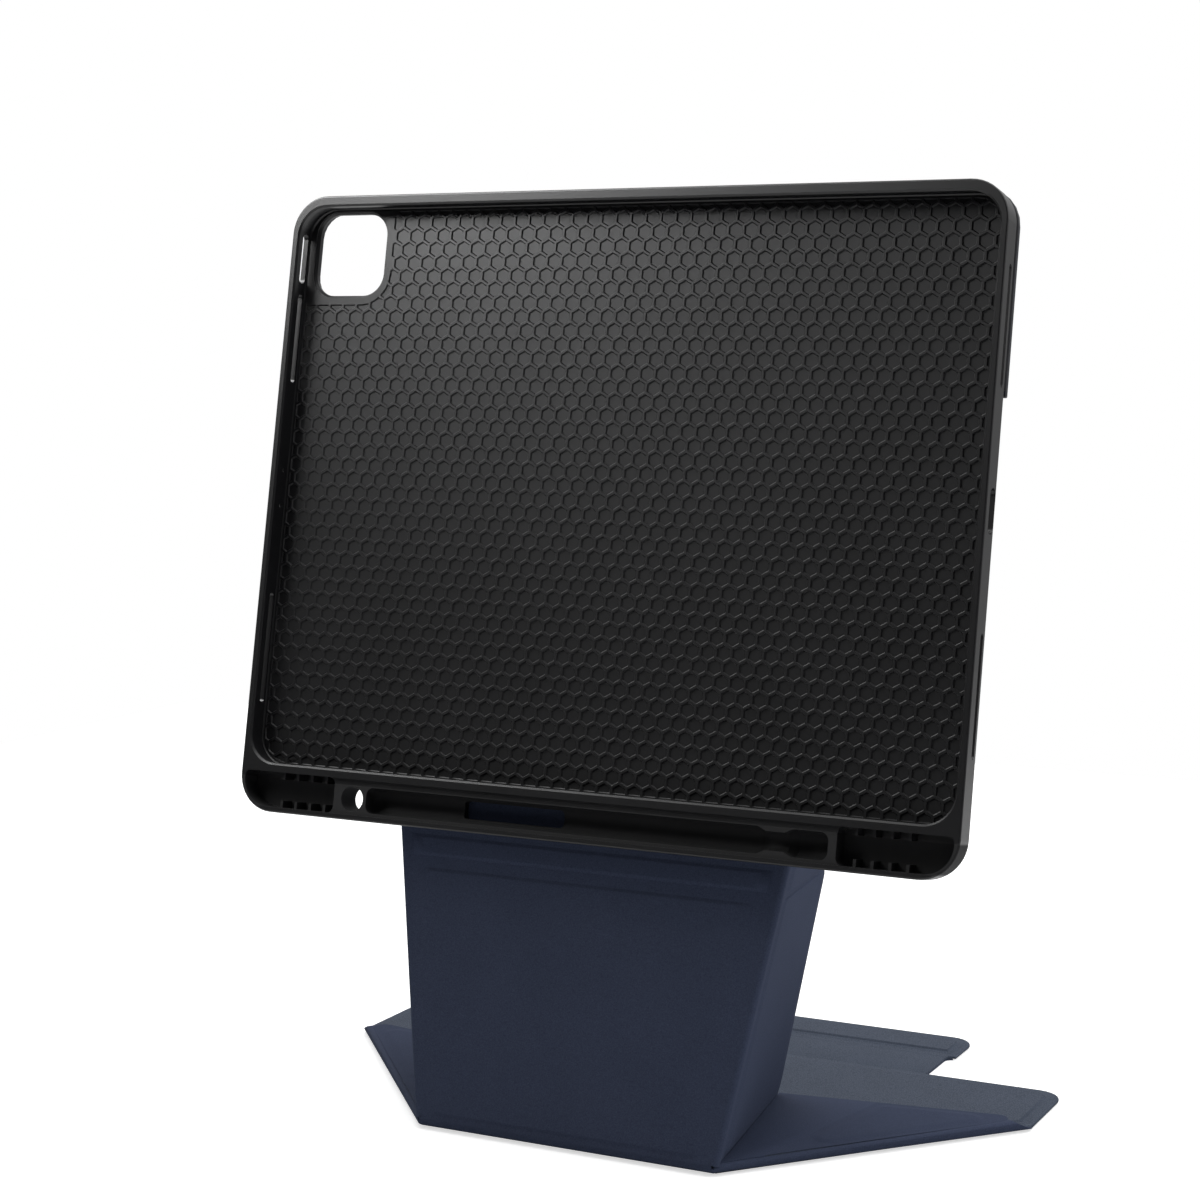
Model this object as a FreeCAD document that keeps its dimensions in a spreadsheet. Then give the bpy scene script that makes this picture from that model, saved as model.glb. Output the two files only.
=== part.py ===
import FreeCAD, Part
import math
import os
import Sketcher

doc = FreeCAD.newDocument("tablet_folio_case")
sheet = doc.addObject("Spreadsheet::Sheet", "dims")

# Driving dimensions, in millimetres and degrees
SIZES = [
    # Tablet and pencil that the case is made for
    ("tablet_width", 280.6),
    ("tablet_height", 214.9),
    ("tablet_thick", 6.4),
    ("tablet_corner", 12.0),
    ("pencil_diameter", 8.9),
    # Clearances
    ("tablet_fit", 0.2),
    ("pencil_fit", 0.35),
    ("board_fit", 0.15),
    ("magnet_fit", 0.15),
    ("crease_gap", 0.4),
    ("fold_gap", 0.3),
    ("web_clear", 3.6),
    ("wing_lift", 1.0),
    # Shell moulding
    ("side_wall", 2.0),
    ("top_wall", 3.2),
    ("shell_floor", 2.0),
    ("lip_height", 2.8),
    ("lip_reach", 0.9),
    ("lip_chamfer", 0.7),
    ("back_round", 2.6),
    ("front_round", 0.7),
    ("ridge", 2.3),
    ("tray_width", 13.2),
    ("tray_lip", 2.0),
    ("tray_recess", 1.2),
    ("tray_corner", 2.0),
    ("tray_round", 10.4),
    # Tray details, stepped inwards from the cavity's sides, and up from the shell's lower edge
    ("pocket_left_length", 39.5),
    ("pocket_right_length", 41.5),
    ("bore_gap", 8.0),
    ("groove_bore_gap", 6.0),
    ("groove_pocket_gap", 3.0),
    ("groove_floor", 2.4),
    ("groove_rise", 7.9),
    ("groove_end_round", 3.0),
    ("neck_gap", 13.0),
    ("neck_length", 13.0),
    ("neck_taper", 3.0),
    ("neck_pinch", 1.5),
    ("window_left", 49.0),
    ("window_right", 8.0),
    ("window_width", 6.4),
    ("window_round", 1.5),
    ("bore_diameter", 9.5),
    ("pocket_floor", 3.0),
    ("pocket_round", 2.6),
    ("rib_width", 1.1),
    ("rib_length", 2.6),
    ("rib_height", 6.2),
    ("rib_pitch", 6.3),
    ("rib_root", 0.4),
    ("rib_outer", 16.1),
    # Openings in the shell
    ("camera_side", 19.3),
    ("camera_rise", 215.1),
    ("camera_width", 30.0),
    ("camera_height", 31.7),
    ("camera_round", 8.5),
    ("camera_chamfer", 0.8),
    ("camera_margin", 1.0),
    ("slot_width", 2.6),
    ("slot_long", 42.0),
    ("slot_short", 34.4),
    ("slot_low_rise", 62.1),
    ("slot_high_right", 186.8),
    ("slot_high_left", 181.9),
    ("button_rise", 213.0),
    ("button_length", 19.2),
    ("button_width", 3.6),
    ("port_rise", 124.1),
    ("port_length", 15.6),
    ("port_width", 5.6),
    ("port_round", 2.4),
    ("mic_high", 130.5),
    ("mic_low", 116.9),
    ("mic_diameter", 1.6),
    ("wall_cut", 1.4),
    # Sandwich of the cover sheet
    ("leather", 0.8),
    ("board", 1.0),
    ("lining", 0.6),
    ("rim", 3.0),
    ("adhesive", 0.3),
    ("adhesive_inset", 6.0),
    # Fold pattern of the cover sheet
    ("lean", 11.14),
    ("gusset_angle", 49.2),
    ("fold_half", 58.4),
    ("fold_place", 70.0),
    ("base_depth", 141.0),
    ("base_round", 10.0),
    ("leg_height", 94.5),
    ("spine_width", 12.0),
    ("back_height", 163.5),
    ("wing_top_gap", 8.0),
    ("wing_top_drop", 12.0),
    ("wing_round", 3.0),
    ("web_start", 18.0),
    ("web_angle", 20.0),
    ("strip_width", 26.0),
    ("strip_half", 87.0),
    ("tab_width", 27.0),
    ("tab_half", 90.0),
    ("tab_round", 10.0),
    # Magnets and steel plates
    ("magnet_diameter", 8.0),
    ("magnet_angle", 9.0),
    ("magnet_inset", 12.3),
    ("magnet_pitch", 24.0),
    ("bar_length", 18.0),
    ("bar_width", 8.0),
    ("bar_near", 22.0),
    ("bar_far", 66.0),
    ("plate_drop", 24.0),
]
for row, (alias, value) in enumerate(SIZES, start=1):
    sheet.set("A%d" % row, alias)
    sheet.set("B%d" % row, str(value))
    sheet.setAlias("B%d" % row, alias)
doc.recompute()

# Sizes that follow from the driving dimensions
SHEET_HALF = "(dims.tablet_width / 2 + dims.tablet_fit + dims.side_wall)"
THICK = "(dims.leather + dims.board + dims.lining)"
BOARD_TOP = "(dims.leather + dims.board)"
CAVITY_HALF = "(dims.tablet_width / 2 + dims.tablet_fit)"
CAVITY_LOW = "(dims.tray_lip + dims.tray_width + dims.ridge)"
CAVITY_HIGH = "(" + CAVITY_LOW + " + dims.tablet_height + 2 * dims.tablet_fit)"
SHELL_HEIGHT = "(" + CAVITY_HIGH + " + dims.top_wall)"
LIP_FOOT = "(dims.shell_floor + dims.tablet_thick + dims.tablet_fit)"
SHELL_DEPTH = "(" + LIP_FOOT + " + dims.lip_height)"
SHELL_ROUND = "(dims.tablet_corner + dims.tablet_fit + dims.side_wall)"
CAVITY_ROUND = "(dims.tablet_corner + dims.tablet_fit)"
LIP_ROUND = "(dims.tablet_corner + dims.tablet_fit - dims.lip_reach)"
SPINE_FOOT = "dims.leg_height"
BACK_FOOT = "(dims.leg_height + dims.spine_width)"
SHELL_FOOT = "(" + BACK_FOOT + " + dims.crease_gap)"
HINGE = "(" + BACK_FOOT + " + dims.back_height)"
TOP_EDGE = "(" + SHELL_FOOT + " + " + SHELL_HEIGHT + ")"
SLOPE = "(sin(dims.lean * 1 deg) / tan(dims.gusset_angle * 1 deg))"
SLANT = "sqrt(1 + " + SLOPE + " ^ 2)"
TAN_G = "tan(dims.gusset_angle * 1 deg)"
COS_G = "cos(dims.gusset_angle * 1 deg)"
SIN_G = "sin(dims.gusset_angle * 1 deg)"
TAN_W = "tan(dims.web_angle * 1 deg)"
COS_W = "cos(dims.web_angle * 1 deg)"
GROOVE = "(dims.pencil_diameter / 2 + dims.pencil_fit)"
GROOVE_AXIS = "(dims.groove_floor + " + GROOVE + ")"
STRIP_FOOT = "dims.base_depth"
TAB_FOOT = "(dims.base_depth + dims.strip_width)"
TAB_END = "(" + TAB_FOOT + " + dims.tab_width)"
SLOT_RISE = "(dims.shell_floor + dims.tablet_thick / 2)"
POCKET_LEFT_IN = "(" + CAVITY_HALF + " - dims.pocket_left_length)"
POCKET_RIGHT_IN = "(" + CAVITY_HALF + " - dims.pocket_right_length)"
BORE_ACROSS = "(" + POCKET_LEFT_IN + " - dims.bore_gap)"
GROOVE_LEFT = "(" + BORE_ACROSS + " - dims.groove_bore_gap)"
GROOVE_RIGHT = "(" + POCKET_RIGHT_IN + " - dims.groove_pocket_gap)"
NECK_END = "(" + GROOVE_RIGHT + " - dims.neck_gap)"
NECK_START = "(" + NECK_END + " - dims.neck_length)"
CAMERA_ACROSS = "(" + CAVITY_HALF + " - dims.camera_side)"
MAGNET_FAR = "((" + SHEET_HALF + " - dims.fold_half - dims.magnet_inset)"
MAGNET_FAR += " / cos((dims.gusset_angle - dims.magnet_angle) * 1 deg))"
MAGNET_NEAR = "(" + MAGNET_FAR + " - dims.magnet_pitch)"

# Edge insets: a crease edge and a free edge, for the cover, the hollow in the cover and the board
CREASE = "dims.crease_gap"
CREASE_HOLLOW = "(dims.crease_gap + dims.rim)"
CREASE_BOARD = "(dims.crease_gap + dims.rim + dims.board_fit)"
FREE = "0"
FREE_HOLLOW = "dims.rim"
FREE_BOARD = "(dims.rim + dims.board_fit)"


def number(expression):
    return float(sheet.evalExpression(expression))


def minus(expression):
    return "-(" + expression + ")"


def plus(*terms):
    return "(" + " + ".join(terms) + ")"


def less(first, second):
    return "(" + first + " - (" + second + "))"


def flip(points, side):
    if side > 0:
        return points
    return [(minus(point[0]),) + tuple(point[1:]) for point in points]


# Sketch helpers

def place_constraint(sketch, kind, geometry, point, expression):
    value = number(expression)
    index = sketch.addConstraint(Sketcher.Constraint(kind, -1, 1, geometry, point, value))
    sketch.setExpression("Constraints[%d]" % index, expression)


def draw_outline(sketch, points):
    """Closed outline through the given corners; a third entry rounds that corner."""
    corners = [(point[0], point[1], point[2] if len(point) > 2 else None) for point in points]
    spots = [FreeCAD.Vector(number(corner[0]), number(corner[1]), 0) for corner in corners]
    count = len(corners)
    area = 0.0
    for i in range(count):
        j = (i + 1) % count
        area += spots[i].x * spots[j].y - spots[j].x * spots[i].y
    if area < 0:
        corners.reverse()
        spots.reverse()
    arrive = []
    leave = []
    arcs = []
    for i in range(count):
        radius_text = corners[i][2]
        if radius_text is None:
            arrive.append(spots[i])
            leave.append(spots[i])
            arcs.append(None)
            continue
        back = (spots[i - 1] - spots[i]).normalize()
        ahead = (spots[(i + 1) % count] - spots[i]).normalize()
        half = back.getAngle(ahead) / 2
        radius = number(radius_text)
        reach = radius / math.tan(half)
        middle = (back + ahead).normalize() * (radius / math.sin(half)) + spots[i]
        first = spots[i] + back * reach
        last = spots[i] + ahead * reach
        turn = back.cross(ahead).z
        start = math.atan2(first.y - middle.y, first.x - middle.x)
        stop = math.atan2(last.y - middle.y, last.x - middle.x)
        arrive.append(first)
        leave.append(last)
        arcs.append((middle, radius, start, stop, turn))
    lines = sketch.GeometryCount
    for i in range(count):
        segment = Part.LineSegment(leave[i], arrive[(i + 1) % count])
        sketch.addGeometry(segment, False)
    for i in range(count):
        before = lines + (i - 1) % count
        after = lines + i
        if arcs[i] is None:
            sketch.addConstraint(Sketcher.Constraint("Coincident", before, 2, after, 1))
            place_constraint(sketch, "DistanceX", after, 1, corners[i][0])
            place_constraint(sketch, "DistanceY", after, 1, corners[i][1])
            continue
        middle, radius, start, stop, turn = arcs[i]
        circle = Part.Circle(middle, FreeCAD.Vector(0, 0, 1), radius)
        outward = turn < 0
        if outward:
            arc = sketch.addGeometry(Part.ArcOfCircle(circle, start, stop), False)
        else:
            arc = sketch.addGeometry(Part.ArcOfCircle(circle, stop, start), False)
        arc_in, arc_out = (1, 2) if outward else (2, 1)
        sketch.addConstraint(Sketcher.Constraint("Tangent", before, 2, arc, arc_in))
        sketch.addConstraint(Sketcher.Constraint("Tangent", arc, arc_out, after, 1))
        index = sketch.addConstraint(Sketcher.Constraint("Radius", arc, radius))
        sketch.setExpression("Constraints[%d]" % index, corners[i][2])
        corner = sketch.addGeometry(Part.Point(spots[i]), True)
        sketch.addConstraint(Sketcher.Constraint("PointOnObject", corner, 1, before))
        sketch.addConstraint(Sketcher.Constraint("PointOnObject", corner, 1, after))
        place_constraint(sketch, "DistanceX", corner, 1, corners[i][0])
        place_constraint(sketch, "DistanceY", corner, 1, corners[i][1])


def draw_circle(sketch, across, rise, radius_text):
    middle = FreeCAD.Vector(number(across), number(rise), 0)
    radius = number(radius_text)
    circle = sketch.addGeometry(Part.Circle(middle, FreeCAD.Vector(0, 0, 1), radius), False)
    place_constraint(sketch, "DistanceX", circle, 3, across)
    place_constraint(sketch, "DistanceY", circle, 3, rise)
    index = sketch.addConstraint(Sketcher.Constraint("Radius", circle, radius))
    sketch.setExpression("Constraints[%d]" % index, radius_text)


def box_points(left, right, low, high, radius=None):
    corners = [(left, low), (right, low), (right, high), (left, high)]
    if radius is None:
        return corners
    return [corner + (radius,) for corner in corners]


def new_body(name):
    body = doc.addObject("PartDesign::Body", name)
    body.Label = name
    return body


def new_sketch(body, name, role="XY_Plane", height=None):
    sketch = body.newObject("Sketcher::SketchObject", name)
    plane = [item for item in body.Origin.OriginFeatures if item.Role == role][0]
    sketch.AttachmentSupport = (plane, [""])
    sketch.MapMode = "FlatFace"
    if height is not None:
        sketch.setExpression("AttachmentOffset.Base.z", height)
    return sketch


def pad(body, name, sketch, length):
    feature = body.newObject("PartDesign::Pad", name)
    feature.Profile = sketch
    feature.setExpression("Length", length)
    sketch.Visibility = False
    doc.recompute()
    return feature


def pocket(body, name, sketch, length):
    before = body.Shape.Volume
    feature = body.newObject("PartDesign::Pocket", name)
    feature.Profile = sketch
    feature.setExpression("Length", length)
    sketch.Visibility = False
    doc.recompute()
    if not body.Shape.Volume < before - 1e-3:
        raise RuntimeError(name + " removed nothing")
    return feature


def dress(body, name, kind, edges, size_name, size):
    tip = body.Tip
    feature = body.newObject("PartDesign::" + kind, name)
    feature.Base = (tip, edges)
    feature.setExpression(size_name, size)
    doc.recompute()
    return feature


nodes = []


def layer(name, loops, foot, height, placement, holes=()):
    """Flat layer of the sheet: an outline raised from foot by height, with round or long holes."""
    body = new_body(name)
    sketch = new_sketch(body, name + "_outline", height=foot)
    for loop in loops:
        draw_outline(sketch, loop)
    pad(body, name + "_sheet", sketch, height)
    if holes:
        cut = new_sketch(body, name + "_holes", height=plus(foot, height))
        for hole in holes:
            if len(hole) == 3:
                draw_circle(cut, *hole)
            else:
                draw_outline(cut, hole)
        pocket(body, name + "_cut", cut, height)
    body.Placement = placement
    nodes.append(body)
    return body


def tray_cover(name, loops, hollows, placement):
    """Leather skin with its edge turned up round each board."""
    body = new_body(name)
    sketch = new_sketch(body, name + "_outline")
    for loop in loops:
        draw_outline(sketch, loop)
    pad(body, name + "_skin", sketch, BOARD_TOP)
    cut = new_sketch(body, name + "_hollow", height=BOARD_TOP)
    for hollow in hollows:
        draw_outline(cut, hollow)
    pocket(body, name + "_recess", cut, "dims.board")
    body.Placement = placement
    nodes.append(body)
    return body


def group(name, pieces, placement):
    compound = doc.addObject("Part::Compound", name)
    compound.Label = name
    compound.Links = pieces
    doc.recompute()
    compound.Placement = placement
    nodes.append(compound)
    return compound


def disc(name, across, rise):
    piece = doc.addObject("Part::Cylinder", name)
    piece.setExpression("Radius", "dims.magnet_diameter / 2")
    piece.setExpression("Height", "dims.board")
    piece.setExpression("Placement.Base.x", across)
    piece.setExpression("Placement.Base.y", rise)
    piece.setExpression("Placement.Base.z", "dims.leather")
    return piece


def bar(name, across, rise):
    piece = doc.addObject("Part::Box", name)
    piece.setExpression("Length", "dims.bar_length")
    piece.setExpression("Width", "dims.bar_width")
    piece.setExpression("Height", "dims.board")
    piece.setExpression("Placement.Base.x", less(across, "dims.bar_length / 2"))
    piece.setExpression("Placement.Base.y", less(rise, "dims.bar_width / 2"))
    piece.setExpression("Placement.Base.z", "dims.leather")
    return piece


def bar_hole(across, rise):
    long_half = "(dims.bar_length / 2 + dims.magnet_fit)"
    wide_half = "(dims.bar_width / 2 + dims.magnet_fit)"
    return box_points(
        less(across, long_half), plus(across, long_half), less(rise, wide_half), plus(rise, wide_half)
    )


# Places of the panels in the standing pose

fold_line = FreeCAD.Vector(0, -number("dims.fold_place"), number(THICK))
fold_end = number("dims.fold_half")
column_place = FreeCAD.Placement(
    fold_line, FreeCAD.Rotation(FreeCAD.Vector(1, 0, 0), 90 - number("dims.lean"))
)
base_place = FreeCAD.Placement(fold_line, FreeCAD.Rotation(FreeCAD.Vector(1, 0, 0), 180))


def turned(place, centre, axis, angle):
    rotation = FreeCAD.Rotation(axis, angle)
    return place.multiply(FreeCAD.Placement(FreeCAD.Vector(0, 0, 0), rotation, centre))


def wing_turn():
    """Angle the wing turns back from the column so that its foot lies along the folded gusset's edge."""
    across = FreeCAD.Vector(1, 0, 0)
    crease = column_place.Rotation.multVec(FreeCAD.Vector(number(SLOPE), 1, 0)).normalize()
    double = math.radians(2 * number("dims.gusset_angle"))
    foot = FreeCAD.Vector(math.cos(double), math.sin(double), 0)
    flat = across - crease * across.dot(crease)
    folded = foot - crease * foot.dot(crease)
    return math.degrees(flat.getAngle(folded))


def wing_place(side):
    centre = FreeCAD.Vector(side * fold_end, 0, 0)
    axis = FreeCAD.Vector(side * number(SLOPE), 1, 0)
    return turned(column_place, centre, axis, side * wing_turn())


def gusset_place(side):
    turn = math.radians(number("dims.gusset_angle"))
    centre = FreeCAD.Vector(side * fold_end, 0, -number("dims.fold_gap") / 2)
    axis = FreeCAD.Vector(side * math.cos(turn), -math.sin(turn), 0)
    return turned(base_place, centre, axis, -side * 180)


shell_place = column_place.multiply(
    FreeCAD.Placement(
        FreeCAD.Vector(0, number(SHELL_FOOT), number(THICK) + number("dims.adhesive")), FreeCAD.Rotation()
    )
)

# Outlines of the panels on the flat sheet, across from the middle and up from the front fold


def column_edge(rise, crease):
    return "(dims.fold_half + " + SLOPE + " * (" + rise + ") - " + crease + " * " + SLANT + ")"


def column_panel(foot, top, crease):
    low = plus(foot, crease)
    high = less(top, crease)
    return [
        (minus(column_edge(low, crease)), low),
        (column_edge(low, crease), low),
        (column_edge(high, crease), high),
        (minus(column_edge(high, crease)), high),
    ]


def wing_edge(rise, crease):
    return "(dims.fold_half + " + SLOPE + " * (" + rise + ") + " + crease + " * " + SLANT + ")"


def wing_panel(side, low, high, high_outer, crease, free, radius=None):
    outer = less(SHEET_HALF, free)
    points = [(wing_edge(low, crease), low), (outer, low)]
    if radius is None:
        points.append((outer, high_outer))
    else:
        points.append((outer, high_outer, radius))
    points.append((wing_edge(high, crease), high))
    return flip(points, side)


def base_panel(crease, free, radius):
    fold = less("dims.fold_half", crease + " * tan(dims.gusset_angle * 0.5 deg)")
    outer = less(SHEET_HALF, free)
    corner = minus(plus("(" + outer + " - dims.fold_half) * " + TAN_G, crease + " / " + COS_G))
    rear = minus(less("dims.base_depth", free))
    return [
        (minus(fold), minus(crease)),
        (minus(outer), corner),
        (minus(outer), rear, radius),
        (outer, rear, radius),
        (outer, corner),
        (fold, minus(crease)),
    ]


WEB_X = "(dims.fold_half + dims.web_start * " + COS_G + ")"
WEB_S = "(-dims.web_start * " + SIN_G + ")"


def web_line(across, free):
    return "(" + WEB_S + " - (" + across + " - " + WEB_X + ") * " + TAN_W + " - (" + free + ") / " + COS_W + ")"


def gusset_tip(crease, free):
    top = "(dims.fold_half * " + TAN_G + " + (" + crease + ") / " + COS_G + " - " + WEB_S
    top += " - " + WEB_X + " * " + TAN_W + " + (" + free + ") / " + COS_W + ")"
    return "(" + top + " / (" + TAN_G + " - " + TAN_W + "))"


def gusset_panel(side, crease, free, web_free):
    outer = less(SHEET_HALF, free)
    tip = gusset_tip(crease, web_free)
    low = "(-(" + outer + " - dims.fold_half) * " + TAN_G + " + (" + crease + ") / " + COS_G + ")"
    points = [(tip, web_line(tip, web_free)), (outer, low), (outer, web_line(outer, web_free))]
    return flip(points, side)


def web_panel(side):
    gap = "(-2 * dims.crease_gap)"
    tip = gusset_tip(CREASE, gap)
    near = "(dims.fold_half + (dims.web_clear + dims.crease_gap / " + COS_G + ") / " + TAN_G + ")"
    high = minus("dims.web_clear")
    points = [(near, high), (tip, web_line(tip, gap)), (SHEET_HALF, web_line(SHEET_HALF, gap)), (SHEET_HALF, high)]
    return flip(points, side)


def band_panel(half, foot, end, crease, free, radius=None):
    near = minus(plus(foot, crease))
    far = minus(less(end, free))
    if radius is None:
        return box_points(minus(less(half, free)), less(half, free), far, near)
    return [
        (minus(less(half, free)), near),
        (minus(less(half, free)), far, radius),
        (less(half, free), far, radius),
        (less(half, free), near),
    ]


def top_panel(crease, free, radius):
    outer = less(SHEET_HALF, free)
    low = plus(HINGE, crease)
    high = less(TOP_EDGE, free)
    return [(minus(outer), low), (outer, low), (outer, high, radius), (minus(outer), high, radius)]


CAMERA_LEFT = "(-" + CAMERA_ACROSS + " - dims.camera_width / 2 - dims.camera_margin)"
CAMERA_RIGHT = "(-" + CAMERA_ACROSS + " + dims.camera_width / 2 + dims.camera_margin)"
CAMERA_LOW = plus(SHELL_FOOT, "dims.camera_rise", "-dims.camera_height / 2", "-dims.camera_margin")
CAMERA_HIGH = plus(SHELL_FOOT, "dims.camera_rise", "dims.camera_height / 2", "dims.camera_margin")


def top_notched(crease, free, radius):
    """Top panel outline that steps round the camera corner."""
    outer = less(SHEET_HALF, free)
    low = plus(HINGE, crease)
    high = less(TOP_EDGE, free)
    step_x = plus(CAMERA_RIGHT, free)
    step_y = less(CAMERA_LOW, free)
    return [
        (minus(outer), low),
        (outer, low),
        (outer, high, radius),
        (step_x, high),
        (step_x, step_y),
        (minus(outer), step_y),
    ]


# Column: leg, spine band and back panel

for name, foot, top in (
    ("leg", "0", SPINE_FOOT),
    ("spine", SPINE_FOOT, BACK_FOOT),
    ("back", BACK_FOOT, HINGE),
):
    tray_cover(
        name + "_cover",
        [column_panel(foot, top, CREASE)],
        [column_panel(foot, top, CREASE_HOLLOW)],
        column_place,
    )
    layer(name + "_board", [column_panel(foot, top, CREASE_BOARD)], "dims.leather", "dims.board", column_place)
    layer(name + "_lining", [column_panel(foot, top, CREASE)], BOARD_TOP, "dims.lining", column_place)

# Wings: one cover and lining each, with a board below and above the spine line

WING_TOP = less(HINGE, "dims.wing_top_gap")
WING_OUTER = less(WING_TOP, "dims.wing_top_drop")
for side, mark in ((1, "_r"), (-1, "_l")):
    place = wing_place(side)
    outline = wing_panel(side, "dims.wing_lift", WING_TOP, WING_OUTER, CREASE, FREE, "dims.wing_round")
    pieces = []
    for crease, free in ((CREASE_HOLLOW, FREE_HOLLOW), (CREASE_BOARD, FREE_BOARD)):
        low = plus("dims.wing_lift", free)
        split_low = less(SPINE_FOOT, crease)
        split_high = plus(BACK_FOOT, crease)
        lower = wing_panel(side, low, split_low, split_low, crease, free)
        upper = wing_panel(side, split_high, less(WING_TOP, free), less(WING_OUTER, free), crease, free)
        pieces.append((lower, upper))
    tray_cover("wing_cover" + mark, [outline], list(pieces[0]), place)
    layer("wing_lower_board" + mark, [pieces[1][0]], "dims.leather", "dims.board", place)
    layer("wing_upper_board" + mark, [pieces[1][1]], "dims.leather", "dims.board", place)
    layer("wing_lining" + mark, [outline], BOARD_TOP, "dims.lining", place)

# Base, with the magnets that hold the gussets down


def magnet_spot(side, distance, turn):
    angle = "((dims.gusset_angle + " + turn + ") * 1 deg)"
    across = "(dims.fold_half + " + distance + " * cos" + angle + ")"
    if side < 0:
        across = minus(across)
    return across, "(-" + distance + " * sin" + angle + ")"


MAGNET_HOLE = "(dims.magnet_diameter / 2 + dims.magnet_fit)"
base_spots = []
for side in (1, -1):
    for distance in (MAGNET_NEAR, MAGNET_FAR):
        base_spots.append(magnet_spot(side, distance, "dims.magnet_angle"))
tray_cover(
    "base_cover",
    [base_panel(CREASE, FREE, "dims.base_round")],
    [base_panel(CREASE_HOLLOW, FREE_HOLLOW, "(dims.base_round - dims.rim)")],
    base_place,
)
layer(
    "base_board",
    [base_panel(CREASE_BOARD, FREE_BOARD, "(dims.base_round - dims.rim - dims.board_fit)")],
    "dims.leather",
    "dims.board",
    base_place,
    [(across, rise, MAGNET_HOLE) for across, rise in base_spots],
)
layer("base_lining", [base_panel(CREASE, FREE, "dims.base_round")], BOARD_TOP, "dims.lining", base_place)
base_discs = [disc("base_disc_%d" % i, across, rise) for i, (across, rise) in enumerate(base_spots, start=1)]
group("base_magnets", base_discs, base_place)

# Gussets: a stiffened triangle beside its fold line and a soft web beside the wing

for side, mark in ((1, "_r"), (-1, "_l")):
    place = gusset_place(side)
    spots = []
    for distance in (MAGNET_NEAR, MAGNET_FAR):
        spots.append(magnet_spot(side, distance, "(-dims.magnet_angle)"))
    outline = gusset_panel(side, CREASE, FREE, FREE)
    tray_cover(
        "gusset_cover" + mark,
        [outline],
        [gusset_panel(side, CREASE_HOLLOW, FREE_HOLLOW, FREE_HOLLOW)],
        place,
    )
    layer(
        "gusset_board" + mark,
        [gusset_panel(side, CREASE_BOARD, FREE_BOARD, FREE_BOARD)],
        "dims.leather",
        "dims.board",
        place,
        [(across, rise, MAGNET_HOLE) for across, rise in spots],
    )
    layer("gusset_lining" + mark, [outline], BOARD_TOP, "dims.lining", place)
    discs = []
    for i, (across, rise) in enumerate(spots, start=1):
        discs.append(disc("gusset_disc%s_%d" % (mark, i), across, rise))
    group("gusset_magnets" + mark, discs, place)
    layer("gusset_web" + mark, [web_panel(side)], "0", "(dims.leather + dims.lining)", place)

# Soft strip and closing tab

strip = band_panel("dims.strip_half", STRIP_FOOT, TAB_FOOT, CREASE, CREASE)
layer("tab_hinge_cover", [strip], "dims.board", "dims.leather", base_place)
layer("tab_hinge_lining", [strip], BOARD_TOP, "dims.lining", base_place)
tab_rise = minus(plus(TAB_FOOT, "dims.tab_width / 2"))
bar_spots = ["-dims.bar_far", "-dims.bar_near", "dims.bar_near", "dims.bar_far"]
tab_outline = band_panel("dims.tab_half", TAB_FOOT, TAB_END, CREASE, FREE, "dims.tab_round")
tray_cover(
    "tab_cover",
    [tab_outline],
    [band_panel("dims.tab_half", TAB_FOOT, TAB_END, CREASE_HOLLOW, FREE_HOLLOW, "(dims.tab_round - dims.rim)")],
    base_place,
)
layer(
    "tab_board",
    [
        band_panel(
            "dims.tab_half", TAB_FOOT, TAB_END, CREASE_BOARD, FREE_BOARD, "(dims.tab_round - dims.rim - dims.board_fit)"
        )
    ],
    "dims.leather",
    "dims.board",
    base_place,
    [bar_hole(across, tab_rise) for across in bar_spots],
)
layer("tab_lining", [tab_outline], BOARD_TOP, "dims.lining", base_place)
tab_bars = [bar("tab_bar_%d" % i, across, tab_rise) for i, across in enumerate(bar_spots, start=1)]
group("tab_magnets", tab_bars, base_place)

# Top panel, glued to the shell, with steel plates for the tab

camera_cut = box_points(CAMERA_LEFT, CAMERA_RIGHT, CAMERA_LOW, CAMERA_HIGH, "(dims.camera_round + dims.camera_margin)")
plate_rise = less(TOP_EDGE, "dims.plate_drop")
top_outline = top_panel(CREASE, FREE, SHELL_ROUND)
tray_cover(
    "top_panel_cover",
    [top_outline, camera_cut],
    [top_notched(CREASE_HOLLOW, FREE_HOLLOW, "(" + SHELL_ROUND + " - dims.rim)")],
    column_place,
)
layer(
    "top_panel_board",
    [top_notched(CREASE_BOARD, FREE_BOARD, "(" + SHELL_ROUND + " - dims.rim - dims.board_fit)")],
    "dims.leather",
    "dims.board",
    column_place,
    [bar_hole(across, plate_rise) for across in bar_spots],
)
layer("top_panel_lining", [top_outline, camera_cut], BOARD_TOP, "dims.lining", column_place)
plates = [bar("top_plate_%d" % i, across, plate_rise) for i, across in enumerate(bar_spots, start=1)]
group("top_panel_plates", plates, column_place)
layer(
    "top_panel_adhesive",
    [top_notched("dims.adhesive_inset", "dims.adhesive_inset", "(" + SHELL_ROUND + " - dims.adhesive_inset)")],
    THICK,
    "dims.adhesive",
    column_place,
)

# Shell moulding: across, up from the lower edge, and forward from the back face

shell = new_body("shell")
block = new_sketch(shell, "shell_block")
draw_outline(block, box_points(minus(SHEET_HALF), SHEET_HALF, "0", SHELL_HEIGHT, SHELL_ROUND))
pad(shell, "shell_blank", block, SHELL_DEPTH)


def rim_edges(height):
    """Edges of the shell that run round its outside at one height."""
    found = []
    for index, edge in enumerate(shell.Tip.Shape.Edges, start=1):
        box = edge.BoundBox
        if abs(box.ZMin - height) < 1e-4 and abs(box.ZMax - height) < 1e-4:
            found.append("Edge%d" % index)
    return found


dress(shell, "shell_back_round", "Fillet", rim_edges(0.0), "Radius", "dims.back_round")
dress(shell, "shell_front_round", "Fillet", rim_edges(number(SHELL_DEPTH)), "Radius", "dims.front_round")

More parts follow.
